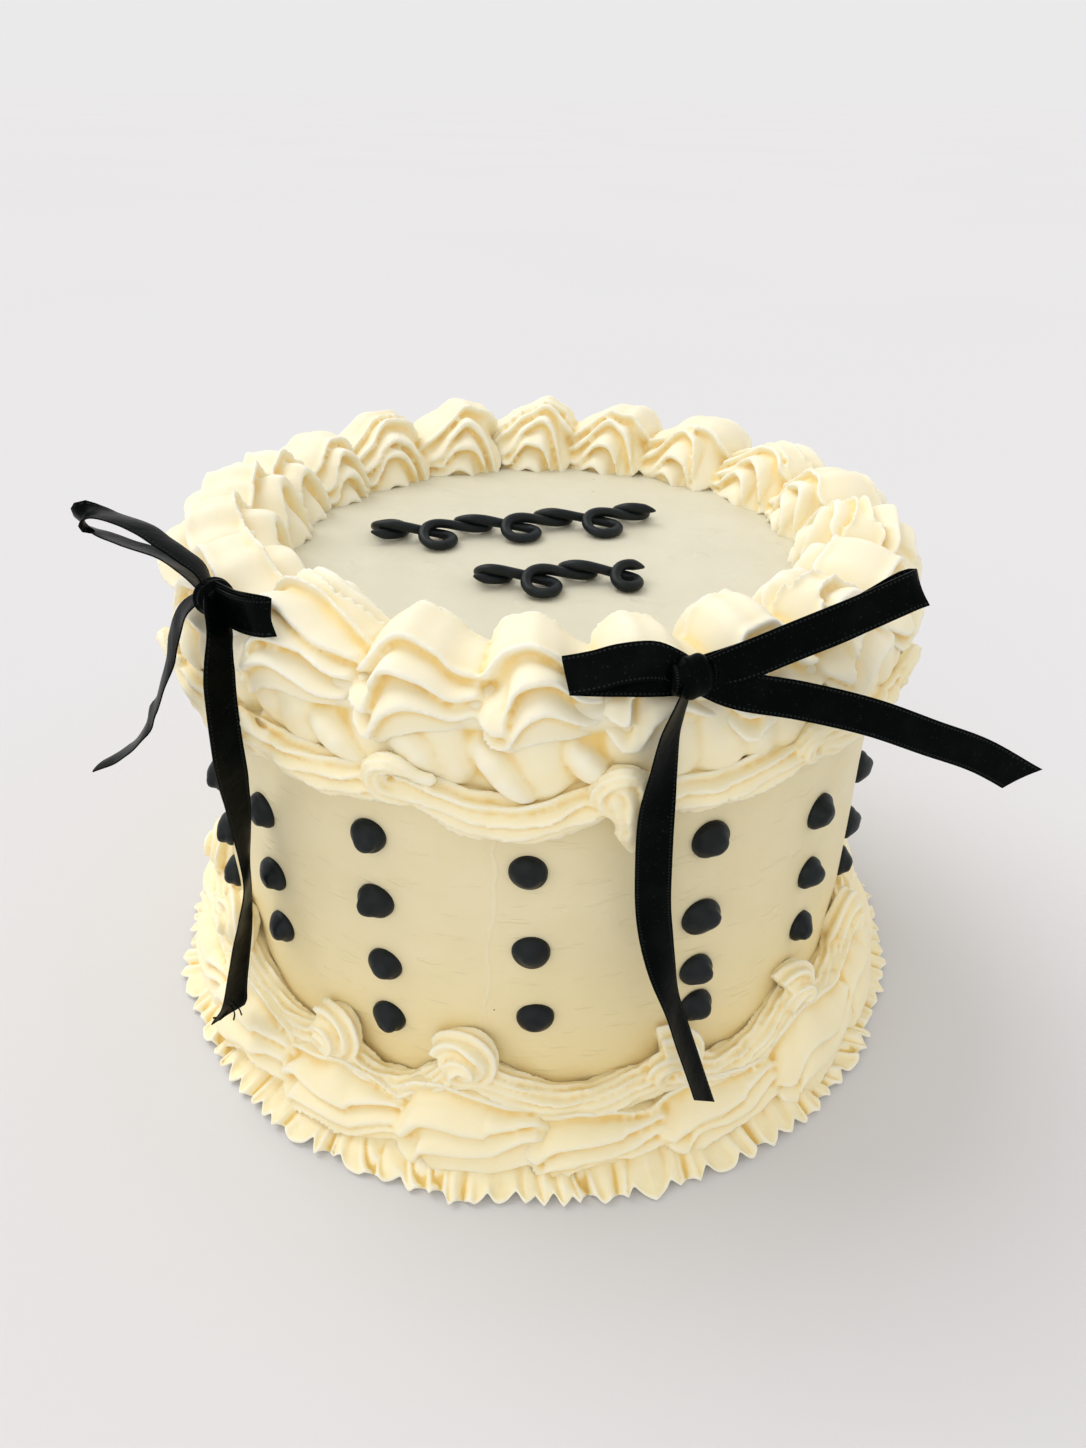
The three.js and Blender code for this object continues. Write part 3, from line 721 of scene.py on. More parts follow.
def swagHeight(turn, joints, heightAt, sagAt):
    place = joints[0] + (turn - joints[0]) % 360
    span, start, end = [each for each in spans(joints) if each[1] <= place][-1]
    after = (span + 1) % len(joints)
    share = (place - start) / (end - start)
    level = heightAt(span) + (heightAt(after) - heightAt(span)) * share
    return level - sagAt(span) * math.sin(math.pi * share)


def upperRopeHeight(turn):
    def heightAt(joint):
        return upperRope["jointHeight"] + 0.8 * uneven(joint, 3)

    def sagAt(joint):
        return upperRope["frontSag"] if joint == 1 else upperRope["sag"] + 0.8 * uneven(joint, 4)

    return swagHeight(turn, upperJoints, heightAt, sagAt)


def lowerRopeHeight(turn):
    return swagHeight(
        turn, lowerJoints, lambda joint: lowerHeights[joint] - lowerRope["below"],
        lambda joint: lowerRope["sag"] + 1.2 * uneven(joint, 8),
    )


def rimHeight(turn, radius):
    outside = rim["height"] + rim["front"] * math.cos(math.radians(turn))
    share = min(1, (radius - rim["inner"]) / (rim["outer"] - rim["inner"]))
    return rim["start"] + (outside - rim["start"]) * share


def strand(rows, look, roll, seed):
    # rows are x, y, z, half height across, half depth outwards
    whole = evenly(rows, look["steps"])
    return sweep(whole[:, :3], starSections(whole[:, 3], whole[:, 4], look, roll, seed))


def wallStroke(knots, turn, level, half, deep, count, big=1):
    # rows for a strand on the side; knots are offset, height, radius and share of full size
    return through([
        [*onWall(turn, offset * big, radius, level + height * big), half * size, deep * size]
        for offset, height, radius, size in knots
    ], count)


# from the hook in the middle of a curl out to the rope
curlPath = [
    (7.8, 2.2, 87.0, 0.14), (7.0, 2.6, 87.4, 0.46), (4.6, 3.8, 88.4, 0.44), (2.2, 5.4, 88.8, 0.58),
    (-0.8, 6.2, 88.8, 0.70), (-4.0, 4.8, 88.2, 0.80), (-5.4, 1.4, 87.2, 0.90), (-4.0, -1.8, 86.2, 1.0),
    (0.0, -3.0, 85.0, 1.0), (5.0, -2.4, 83.6, 0.9),
]
curl = {
    "size": 0.78, "half": 3.0, "steps": 90, "corners": 80,
    "fins": 8, "groove": 0.42, "lip": 1.5, "droop": 0.0, "unease": 0.12,
}
# every fourth joint of the upper rope has a drop, the front one a longer one
drop = {"short": 10.0, "long": 15.0, "half": 5.0, "deep": 3.2}
dropRope = {**upperRope, "steps": 40, "corners": 64}


def makeHalves(name, forms, look, node):
    # the right and the left half of a band, so that neither is too heavy
    middle = (len(forms) + 1) // 2
    for side, group in (("right", forms[:middle]), ("left", forms[middle:])):
        finishPiped(meld(f"{name}_{side}", group, look), look, node)


def makeUpperGarland():
    forms = []
    for joint, turn, end in spans(upperJoints):
        level = upperRopeHeight(turn)
        big = curl["size"] * (1 + 0.15 * uneven(joint, 31))
        rows = wallStroke(curlPath, turn, level, curl["half"], curl["half"], 200, big)
        forms.append(strand(rows, curl, np.linspace(0, 110, curl["steps"]), 60 + joint))
        # the rope to the next joint, thinner towards its ends
        rows = []
        for share in np.linspace(-0.03, 1.04, 16):
            along = turn + (end - turn) * share
            bulge = 0.5 * math.sin(math.pi * min(abs(share), 1))
            bulge += 0.3 * uneven(joint * 20 + int(share * 12), 32)
            size = (1 - 0.3 * max(0, share - 0.8) / 0.2) * (0.85 + 0.15 * min(1, abs(share) / 0.15))
            place = around(along, upperRope["ring"] + bulge, upperRopeHeight(along))
            rows.append([*place, upperRope["halfHeight"] * size, upperRope["halfDepth"] * size])
        roll = np.linspace(30, -20, upperRope["steps"]) + 20 * uneven(joint, 33)
        forms.append(strand(through(rows, 400), upperRope, roll, 60 + joint))
        if joint % 4 != 2:
            continue
        fall = drop["long" if joint == 2 else "short"]
        knots = [(-3.5, 4.4, 86.4, 0.5), (-0.6, 3.0, 87.8, 0.9), (1.2, -1.5, 88.0, 1.0),
                 (2.2 + 0.8 * uneven(joint, 7), -0.6 * fall, 86.4, 0.8), (3.0, -fall, 84.0, 0.25)]
        rows = wallStroke(knots, turn, level, drop["half"], drop["deep"], 80)
        forms.append(strand(rows, dropRope, np.linspace(-20, 30, dropRope["steps"]), 90 + joint))
    makeHalves("upper_garland_icing", forms, upperRope, "upper_garland")


rosette = {
    "turns": 1.6, "radius": 5.4, "stroke": 4.0, "ring": 85.0, "proud": 5.6, "steps": 110, "corners": 66,
    "fins": 6, "groove": 0.42, "lip": 1.8, "droop": 0.0, "unease": 0.15,
}


def makeLowerGarland():
    forms = []
    shares = np.linspace(0, 1, 26)
    for joint, turn, end in spans(lowerJoints):
        rows = []
        for share in np.linspace(-0.02, 1.02, 16):
            along = turn + (end - turn) * share
            bulge = 0.5 * math.sin(math.pi * min(max(share, 0), 1))
            bulge += 0.25 * uneven(joint * 20 + int(share * 12), 34)
            place = around(along, lowerRope["ring"] + bulge, lowerRopeHeight(along))
            rows.append([*place, lowerRope["halfHeight"], lowerRope["halfDepth"]])
        roll = np.linspace(30, -30, lowerRope["steps"]) + 25 * uneven(joint, 35)
        forms.append(strand(through(rows, 300), lowerRope, roll, 120 + joint))
        # a rosette winds in on itself as it rises from the side, and ends in a point
        big = 1 + 0.12 * uneven(joint, 9)
        spin = circle * (rosette["turns"] * shares + 0.2 * uneven(joint, 36))
        wide = rosette["radius"] * big * (1 - shares) ** 0.7
        radius = rosette["ring"] + rosette["proud"] * shares ** 1.3
        stroke = rosette["stroke"] * big * (1 - 0.5 * shares) * np.where(shares > 0.94, 0.5, 1)
        places = onWall(turn, -wide * np.cos(spin), radius, lowerHeights[joint] + wide * np.sin(spin))
        rows = through(np.column_stack([places, stroke, stroke]), 200)
        forms.append(strand(rows, rosette, np.linspace(0, 150, rosette["steps"]), 150 + joint))
    makeHalves("lower_garland_icing", forms, lowerRope, "lower_garland")


fingers = {
    "count": 66, "reach": 85.6, "lopsided": 1.2, "half": 4.4, "depth": 3.4, "lean": 2.5,
    "bandInner": 80, "bandOuter": 83.6, "bedRing": 77.0, "bedHeight": 112.5, "bedHalf": (7.6, 4.6),
    "steps": 24, "corners": 40, "fins": 3, "groove": 0.06, "lip": 0.8, "droop": 0.0, "unease": 0.05,
    "voxel": 0.7, "melt": 3, "ripple": (8.0, 0.5), "hollow": (16, 0.8),
}
# some fingers stand proud of the rest, begin higher and end lower
flatFinger = {"out": -0.2, "foot": 4.0, "top": 0.5, "short": 0.0, "lean": 0.9, "wide": 1.2, "deep": 1.0}
proudFinger = {"out": 1.9, "foot": 5.2, "top": -1.5, "short": 4.0, "lean": 1.2, "wide": 0.78, "deep": 0.95}


def makeFingers():
    # behind the fingers, a band on the side and a bed under the shells close the gaps
    angle = np.linspace(0, circle, 28, endpoint=False)
    turns = np.linspace(0, 360, 181)
    inner, outer = fingers["bandInner"], fingers["bandOuter"]
    low = np.array([upperRopeHeight(turn) + 2.0 for turn in turns])
    high = np.array([rimHeight(turn, outer) + 1.0 for turn in turns])
    tall = (high - low)[:, None] / 2 * np.sin(angle)
    deep = np.broadcast_to((outer - inner) / 2 * np.cos(angle), tall.shape)
    band = around(turns, (inner + outer) / 2, (low + high) / 2)
    bed = around(turns, fingers["bedRing"], fingers["bedHeight"])
    bedDepth, bedHeight = fingers["bedHalf"]
    ring = np.stack([bedDepth * np.cos(angle), bedHeight * np.sin(angle)], axis=-1)
    forms = [sweep(band, np.stack([deep, tall], axis=-1)), sweep(bed, np.tile(ring, (len(turns), 1, 1)))]
    for number in range(fingers["count"]):
        turn = 360 * (number + 0.2 * uneven(number, 51)) / fingers["count"]
        own = proudFinger if number % 2 == 1 and uneven(number, 52) > -0.5 else flatFinger
        reach = fingers["reach"] + fingers["lopsided"] * math.sin(math.radians(turn)) + own["out"]
        low = upperRopeHeight(turn) + own["foot"] + 0.9 * uneven(number, 53)
        high = max(low + 7.5, rimHeight(turn, reach) + own["top"] + uneven(number, 57))
        high = max(high - own["short"], low + 6.0)
        lean = fingers["lean"] * (1.2 + 0.5 * uneven(number, 54)) * own["lean"]
        half = fingers["half"] * (1 + 0.2 * uneven(number, 55)) * own["wide"]
        deep = fingers["depth"] * own["deep"]
        knots = [
            (-lean * 1.1, high + 0.6, reach - 4.4, 0.3), (-lean * 0.85, high - 1.0, reach - 3.4, 0.76),
            (-lean * 0.2, high * 0.55 + low * 0.45, reach - 2.7, 1.05),
            (lean * 0.5, high * 0.2 + low * 0.8, reach - 2.5, 0.98),
            (lean * 0.95, low - 0.3, reach - 2.0, 0.6), (lean * 1.25, low - 1.3, reach - 1.4, 0.18),
        ]
        rows = wallStroke(knots, turn, 0, half, deep, 60)
        forms.append(strand(rows, fingers, 40 * uneven(number, 56), 180 + number))
    piece = meld("side_fingers", forms, fingers)
    ripple(piece, "fingerRipple", *fingers["ripple"])
    finishPiped(piece, fingers, "side_border")


makeFingers()
makeUpperGarland()
makeLowerGarland()
print("side piping ready")

# the petals at the foot are shells with lips on the outside only, and the frill is a sheet
petalLips = [
    [(-0.05, 20), (0.1, 12), (0.4, 10), (0.8, 14), (1.3, 16)],
    [(-0.05, 76), (0.03, 74), (0.09, 64), (0.16, 55), (0.3, 52), (0.48, 52), (0.66, 46), (0.84, 37),
     (1.0, 30), (1.3, 26)],
    [(-0.05, 96), (0.08, 95), (0.15, 84), (0.23, 74), (0.4, 71), (0.6, 70), (0.78, 62), (0.94, 52),
     (1.3, 42)],
    [(-0.05, 106), (0.24, 104), (0.32, 95), (0.44, 88), (0.62, 87), (0.8, 80), (1.0, 70), (1.3, 62)],
]
petalSize = [
    (-0.05, 0.3, 0.3), (-0.02, 0.66, 0.60), (0.03, 0.84, 0.80), (0.11, 0.95, 0.94), (0.24, 1.0, 1.0),
    (0.42, 1.0, 1.0), (0.6, 0.95, 0.94), (0.8, 0.86, 0.86), (1.0, 0.78, 0.78), (1.3, 0.56, 0.6),
]
petal = {
    "count": 19, "ring": 86.4, "ringFront": 0.6, "ringRight": 0.0, "base": 4.2, "backRise": 0.0,
    "highest": 19, "inward": 4.0, "outward": 8.2, "relief": 1.4, "overhang": 6.0, "reach": 6.0,
    "sink": 3.8, "stations": 96, "tailRound": 0.15, "toe": 4.0, "wander": 6.0, "voxel": 0.58, "melt": 2,
    "hollow": (16, 0.8), "sizes": petalSize, "sides": ([[(-0.05, 30), (1.3, 30)]], petalLips),
    "crested": (), "broad": (),
}
frill = {
    "wave": 4.8, "broad": 8.5, "reach": 100.2, "front": 1.7, "notch": 1.7, "point": 0.8, "crease": 1.4,
    "rise": 1.7, "innerTop": 8.2, "outerTop": 1.7, "thick": 1.0, "columns": 1800, "steps": 24, "lean": 0.7,
    "inner": 82.4, "ring": 98, "topRun": 15.0, "clear": 0.06, "ripple": (4.0, 0.4), "hollow": (14, 0.6),
}


def seamless(turn, step, seed):
    # an unevenness round the cake that fades out at the back, where it closes
    place = (turn + 180) % 360 - 180
    return drift(place / step, seed) * np.clip((180 - np.abs(place)) / 20, 0, 1)


def makePetals():
    forms = []
    pitch = 360 / petal["count"]
    for number in range(petal["count"]):
        turn = number * pitch + 2.5 * uneven(number, 61)
        # as high as the rope above leaves room for
        top = min(lowerRopeHeight(turn + pitch * 0.4) - 3.0, petal["highest"])
        forms.append(lippedShell(turn, pitch, number, {**petal, "high": top - 0.4}, 62))
    makeHalves("foot_petal_icing", forms, petal, "foot_petals")


def frillPinches():
    # where the frill is pinched, in degrees; now and then the gap is broad
    starts, turn, number = [0.0], 0.0, 0
    while turn < 360:
        wide = frill["broad"] if number % 11 in (5, 8) else frill["wave"] * (1 + 0.33 * uneven(number, 75))
        turn += math.degrees(wide / frill["ring"])
        starts.append(turn)
        number += 1
    return np.array(starts) * 360 / turn


def makeFrill():
    # a thin ruffled sheet: creases cut into it and raised folds, by turns, fade inwards; lengths along
    # its edge are taken at the radius called ring
    starts = frillPinches()
    last = len(starts) - 1
    numbers = np.arange(last + 1) % last
    loose = np.array([[uneven(number, seed) for number in numbers] for seed in (76, 77, 78, 79)])
    turn = np.linspace(0, 360, frill["columns"], endpoint=False)[:, None]
    share = np.linspace(0, 1, frill["steps"])[None] ** 1.4
    inward = share * frill["topRun"]
    lean = frill["lean"] * inward * (0.3 + seamless(turn, 14, 73))
    shifted = (turn + np.degrees(lean / frill["ring"])) % 360
    wave = np.clip(np.searchsorted(starts, shifted, side="right") - 1, 0, last - 1)
    before = np.radians(shifted - starts[wave]) * frill["ring"]
    after = np.radians(starts[wave + 1] - shifted) * frill["ring"]
    # gap is the way to the nearest pinch, and crest is 1 midway between two
    nearest = np.where(before < after, wave, wave + 1)
    gap = np.minimum(before, after)
    crest = np.clip(2 * gap / (before + after), 0, 1)
    creased = loose[0, nearest] > -0.1
    strong = 0.85 + 0.35 * loose[1, nearest]
    fading = np.exp(-(inward / (6.0 + 3.5 * loose[2, nearest])) ** 1.4)
    crease = np.exp(-(gap / (0.6 + 0.05 * inward)) ** 1.3)
    shoulder = np.exp(-((gap - 1.5) / 0.9) ** 2)
    fold = np.exp(-(gap / (1.3 + 0.1 * inward)) ** 1.8)
    bend = np.where(creased, 0.6 * shoulder * frill["rise"] - crease * frill["crease"], fold * frill["rise"])
    high = frill["outerTop"] + (frill["innerTop"] - frill["outerTop"]) * share ** 1.2
    high = high + bend * strong * fading + 0.4 * seamless(turn, 3.1, 69) * np.exp(-inward / 5)
    high = np.maximum(high, 0.5)
    notch = (strong * frill["notch"] * np.exp(-(gap / 1.3) ** 1.4))[:, :1]
    pointed = (frill["point"] * (1 + loose[3, wave]) * crest ** (0.85 + 0.7 * loose[3, wave]))[:, :1]
    wander = 0.8 * seamless(turn, 8, 74) + 0.35 * seamless(turn, 3.1, 68)
    edge = frill["reach"] + frill["front"] * np.cos(np.radians(turn)) - 1.6 - notch + pointed + wander
    # its section runs along the floor, round the edge, back over the top and down the wall
    tip = high[:, :1]
    under = np.maximum(tip - frill["thick"], frill["clear"])
    floor = 0 * tip + frill["clear"]
    inner = np.full_like(edge, frill["inner"])
    radius = np.concatenate([
        inner, edge - 8, edge - 4.5, edge - 2, edge - 0.5, edge - 0.1, edge, edge - 0.12,
        edge - 0.5 - inward, inner,
    ], axis=1)
    high = np.concatenate([
        floor, floor, 0.2 * under + 0.05, 0.7 * under + 0.02, under,
        0.75 * under + 0.25 * tip, (under + tip) / 2, 0.2 * under + 0.8 * tip, high, high[:, -1:],
    ], axis=1)
    columns, count = radius.shape
    points = around(turn, radius, high).reshape(-1, 3)
    column = np.arange(columns)
    following = (column + 1) % columns
    faces = []
    for corner in range(count):
        beside = (corner + 1) % count
        faces.append(np.stack([column * count + corner, following * count + corner,
                               following * count + beside, column * count + beside], axis=1))
    piece = makePiece("foot_frill_icing", [(points, np.vstack(faces).tolist())])
    addModifier(piece, "SMOOTH", {"factor": 0.4, "iterations": 1})
    ripple(piece, "frillRipple", *frill["ripple"])
    places = meshPoints(piece)
    places[:, 2] = np.maximum(places[:, 2], 0.00005)
    setPoints(piece, places)
    finishPiped(piece, frill, "foot_frill")


makePetals()
makeFrill()
print("foot ready")

# dark icing: dots down the side and scrolls on top
# each column's turn and the heights of its dots
dotColumns = [
    (-70, [63, 47, 34]), (-45.3, [74, 57, 42]), (-23.5, [81, 64.5, 47.5, 32]), (-0.8, [78, 57.5, 39]),
    (24.4, [81, 61, 46, 35]), (47.5, [74, 57, 41]), (73, [65, 48, 35]), (99, [78, 62, 45]),
    (125, [80, 64, 49, 35]), (150, [76, 58, 41]), (176, [80, 63, 48]), (202, [77, 58, 42]),
    (227, [80, 65, 50, 36]), (256, [75, 58, 43]),
]
dot = {"radius": 4.15, "proud": 3.6, "segments": 36, "rings": 18, "lean": 0.02}
# steps are counted for each loop
scroll = {
    "halfHeight": 1.15, "halfWidth": 1.3, "climb": 2.7, "steps": 44, "corners": 18,
    "fins": 0, "groove": 0.0, "lip": 1.0, "droop": 0.0, "unease": 0.0,
}
scrolls = {
    "upper_scroll": {
        "start": (-41, 0), "end": (29, 17), "loops": 7, "height": 6.4, "loop": 5.6, "hand": 17,
    },
    "lower_scroll": {
        "start": (-15, -26), "end": (23, -20), "loops": 4, "height": 5.2, "loop": 5.2, "hand": 21,
    },
}


def dotPlaces(model, number, aside):
    # a flat drop; beside the middle of the cake its tip lies off centre
    x, y, z = model.T
    angle = np.arctan2(y, x)
    flat = np.hypot(x, y)
    up = np.clip(z / 0.9, -1, 1)
    lump = 1 + 0.02 * np.sin(2 * angle + 5 * uneven(number, 81)) + 0.012 * np.sin(3 * angle + number)
    spiral = 0.03 * np.sin(angle + 8.0 * flat + 2 * uneven(number, 82)) * fillet(0.1, 0.5, up)
    tip = fillet(0.55, 1.0, up) ** 1.5
    lean = aside * (0.24 + 0.12 * uneven(number, 14)) * tip
    drop = 0.14 * uneven(number, 15) * abs(aside) * tip
    high = np.where(up > 0, 0.66 * np.abs(up) ** 0.8 + 0.22 * tip * (0.5 + abs(aside)) + spiral, 0.3 * up)
    return np.stack([x * lump + lean, y * lump + drop, high], axis=1)


def makeDots():
    bare()
    bpy.ops.mesh.primitive_uv_sphere_add(segments=dot["segments"], ring_count=dot["rings"], radius=1.0)
    model = bpy.context.object
    reshape(model, (bpy.ops.transform.resize, {"value": (1, 1, 0.9)}))
    base = meshPoints(model)
    faces = [list(face.vertices) for face in model.data.polygons]
    bpy.data.objects.remove(model)
    forms, names, number = [], [], 0
    for turn, heights in dotColumns:
        for height in heights:
            number += 1
            names.append(f"dot_{number:02d}")
            size = dot["radius"] * (1 + 0.07 * uneven(number, 13))
            place = turn + 0.3 * uneven(number, 16) - dot["lean"] * (height - 50)
            aside = math.copysign(1, uneven(number, 17)) if abs(turn) > 18 else 0.15
            local = dotPlaces(base, number, aside)
            radius = cakeRadius + 0.1 + dot["proud"] * local[:, 2]
            offset = size * local[:, 0] * radius / cakeRadius
            forms.append((onWall(place, offset, radius, height + size * local[:, 1]), faces))
    piece = makePiece("icing_dots", forms)
    finishPiece(piece, darkFinish, "dark_icing", *names)


def scrollPath(look, shares):
    start, end = np.array(look["start"], float), np.array(look["end"], float)
    length = np.linalg.norm(end - start)
    forward = (end - start) / length
    sideways = np.array([-forward[1], forward[0]])
    floor = cakeHeight + 0.25 + scroll["halfHeight"]
    points = []
    for share in shares:
        place = share * look["loops"]
        number = math.floor(min(place, look["loops"] - 1e-6))
        angle = math.pi * place
        loop = look["loop"] * (1 + 0.12 * uneven(number, look["hand"]))
        advance = length * share + loop * math.sin(2 * angle)
        height = look["height"] * (1 + 0.16 * uneven(number, look["hand"] + 1))
        swing = height * (math.sin(angle) - 0.3 * math.sin(3 * angle))
        climb = (0.5 + 0.5 * math.cos(circle * (place + 0.13))) ** 3
        flat = start + forward * advance + sideways * swing
        points.append([flat[0], flat[1], floor + scroll["climb"] * climb])
    return np.array(points)


def makeScroll(name, look):
    path = evenly(scrollPath(look, np.linspace(0, 1, look["loops"] * 90)), look["loops"] * scroll["steps"])
    share = np.linspace(0, 1, len(path))
    ends = np.sqrt(np.clip(np.minimum(share, 1 - share) * len(path) / 4, 0.05, 1))
    lumps = 1 + 0.07 * drift(share * look["loops"] * 5, look["hand"]) + 0.12 * (1 - fillet(0, 0.03, share))
    wide, high = (scroll[side] * ends * lumps for side in ("halfWidth", "halfHeight"))
    sections = starSections(wide, high, scroll, 0, 0)
    piece = makePiece(f"{name}_icing", [sweep(path, sections, np.array([0.0, 0.0, 1.0]))])
    finishPiece(piece, darkFinish, "dark_icing", name)


makeDots()
for scrollName, scrollLook in scrolls.items():
    makeScroll(scrollName, scrollLook)
print("dark icing ready")

# the satin bows
ribbon = {"width": 6.8, "thickness": 0.42, "cup": 0.35, "perMillimetre": 0.9, "lanes": 11, "thread": 0.4}
# directions in which a ribbon's width lies
leaning, upright, level = (0, 0.45, 0.9), (0, 0, 1), (1, 0, 0)
slope, slanted, folded = (-0.45, 0.2, 0.9), (-0.22, 0.45, 0.87), (-0.25, 0.42, 0.87)
# seen nearly edge on from the front
edgeOn, rising, falling = (-0.44, 0.83, -0.42), (-0.06, 0.96, -0.06), (-0.25, 0.94, -0.16)
# every strip starts at the knot and a loop comes back to it; after a strip's places come the directions
# of its width, the knot's own included
frontBow = {
    "knot": (25.3, -83.6, 121.8), "radii": (4.2, 3.2, 4.0), "threads": [],
    "cuts": {"right tail": 3.0, "down tail": 3.6},
    "strips": {
        "left loop": (
            [(22, -84, 123.9), (18.5, -85.1, 125.5), (12.8, -85.4, 125), (9, -85.6, 123.9),
             (4.1, -84.8, 122.4), (3.9, -84.2, 122.1), (9.2, -83.4, 121.5), (16.4, -83.9, 121.8)],
            [upright, leaning] + [slanted] * 6 + [leaning, upright]),
        "right loop": (
            [(33.3, -82.6, 124), (44, -79.6, 127.3), (54, -76.1, 130.1), (64.6, -72.2, 133.3),
             (65.8, -71.1, 133.1), (64.4, -70.1, 132.7), (54.5, -74.1, 128.9), (43.9, -77.6, 125.8),
             (33.3, -81.1, 123)],
            [upright] + [slope] * 9 + [upright]),
        "right tail": (
            [(33.8, -83.7, 119.2), (44.5, -82.4, 116.7), (58.2, -80.2, 112.2), (70.8, -78, 106.6),
             (81.7, -75.7, 101.5), (91.6, -74, 95.4)],
            [upright, leaning, (0.1, 0.4, 0.9), (0.3, 0.4, 0.9), (0.4, 0.3, 0.9), (0.5, 0.3, 0.8),
             (0.6, 0.3, 0.7)]),
        "down tail": (
            [(22.9, -87.4, 117.2), (21.6, -88.5, 113.4), (20.9, -89, 105.9), (20.3, -89.6, 97.5),
             (20.7, -88.7, 85.8), (21.7, -88, 72.6), (23.7, -88.1, 61.7), (26.5, -88.9, 51.1),
             (29.1, -90, 42.7), (32.2, -91.2, 33.7), (35.1, -92.5, 25.5)],
            [(0.3, 0.82, -0.5), (0.4, 0.77, -0.55), (0.52, 0.73, -0.54), (0.72, 0.58, -0.5),
             (0.97, 0.25, -0.28), level, level, (0.9, 0.45, -0.2)] + [(0.55, 0.66, -0.5)] * 4),
    },
}
leftBow = {
    "knot": (-62.7, -55.8, 122.9), "radii": (2.6, 3.9, 3.6), "cuts": {"down tail": -2.5},
    "strips": {
        "long loop": (
            [(-65, -53.9, 127.5), (-69.1, -52.1, 130.2), (-72.7, -50.5, 132), (-76.2, -48.5, 133.5),
             (-80.1, -46.5, 134.3), (-87.1, -43.3, 134.5), (-90.8, -41.4, 133), (-91.3, -39.7, 130.8),
             (-88.5, -40, 129.3), (-83.2, -41.9, 127.9), (-75, -45.6, 126.7), (-68.9, -49.9, 125)],
            [(-0.05, 0.9, -0.28)] + [rising] * 4 + [(-0.25, 0.92, -0.1), (-0.48, 0.82, -0.12),
             (-0.66, 0.7, -0.14), (-0.55, 0.78, -0.2)] + [falling] * 5),
        "short loop": (
            [(-57.7, -63.1, 123.4), (-52.1, -69.4, 125.2), (-48.8, -71, 125.7), (-48, -70.5, 125.6),
             (-52.4, -68, 125.5), (-57.6, -61.8, 123.7)],
            [upright] + [folded] * 6 + [upright]),
        "thin tail": (
            [(-66, -55.4, 122.2), (-68.1, -55.4, 120.7), (-70.6, -54.9, 117.3), (-72.6, -54.7, 112.8),
             (-74, -54.4, 108.5), (-76.5, -53.9, 102.9), (-78.8, -53.5, 97.6), (-80.2, -53.4, 95.2),
             (-82.2, -53, 91.5), (-85.8, -52.5, 87), (-88.8, -52.4, 84.7), (-94, -51.5, 81.6)],
            [(-0.5, 0.97, -0.1), (-0.5, 0.97, -0.09), (-0.52, 0.92, -0.23), (-0.61, 0.87, -0.28),
             (-0.58, 0.84, -0.36), (-0.53, 0.84, -0.39), edgeOn, edgeOn, (-0.56, 0.84, -0.38), edgeOn,
             edgeOn, (-0.48, 0.85, -0.34), edgeOn]),
        "down tail": (
            [(-59, -67.4, 120.5), (-59, -70.3, 116), (-59.4, -70.8, 111), (-59.3, -72.7, 98.8),
             (-60.2, -69.5, 86.9), (-60.8, -67.4, 77.8), (-61.4, -66.1, 69.5), (-62.3, -65.3, 60.6),
             (-64.4, -64.4, 50.6), (-66.5, -64, 41.8), (-68.6, -64.3, 32.5), (-70.6, -64.7, 23.9),
             (-72.3, -64.8, 20.4)],
            [(0.1, 0.8, -0.43), (0.3, 0.69, -0.4), (0.44, 0.63, -0.34), (0.5, 0.61, -0.29),
             (0.51, 0.63, -0.24), (0.33, 0.7, -0.35), (0.19, 0.73, -0.45), (0.01, 0.74, -0.55),
             (-0.12, 0.73, -0.61), (-0.01, 0.69, -0.64), (0.13, 0.63, -0.65), (0.21, 0.58, -0.66),
             (0.26, 0.51, -0.7), (0.21, 0.46, -0.79)]),
    },
    # loose threads at the end of the long tail
    "threads": [
        [(-71.6, -65.1, 23.1), (-72.7, -65.6, 21), (-74.1, -65.8, 19.6)],
        [(-72.2, -65.1, 22), (-73.3, -65.6, 20.4), (-75.6, -65.4, 19.8)],
        [(-71, -65.1, 23.7), (-70.2, -65.9, 22), (-70.6, -66.2, 20.1)],
        [(-70.3, -64.9, 24.5), (-68.9, -65.9, 23.2), (-68.5, -66.3, 21.8)],
    ],
}


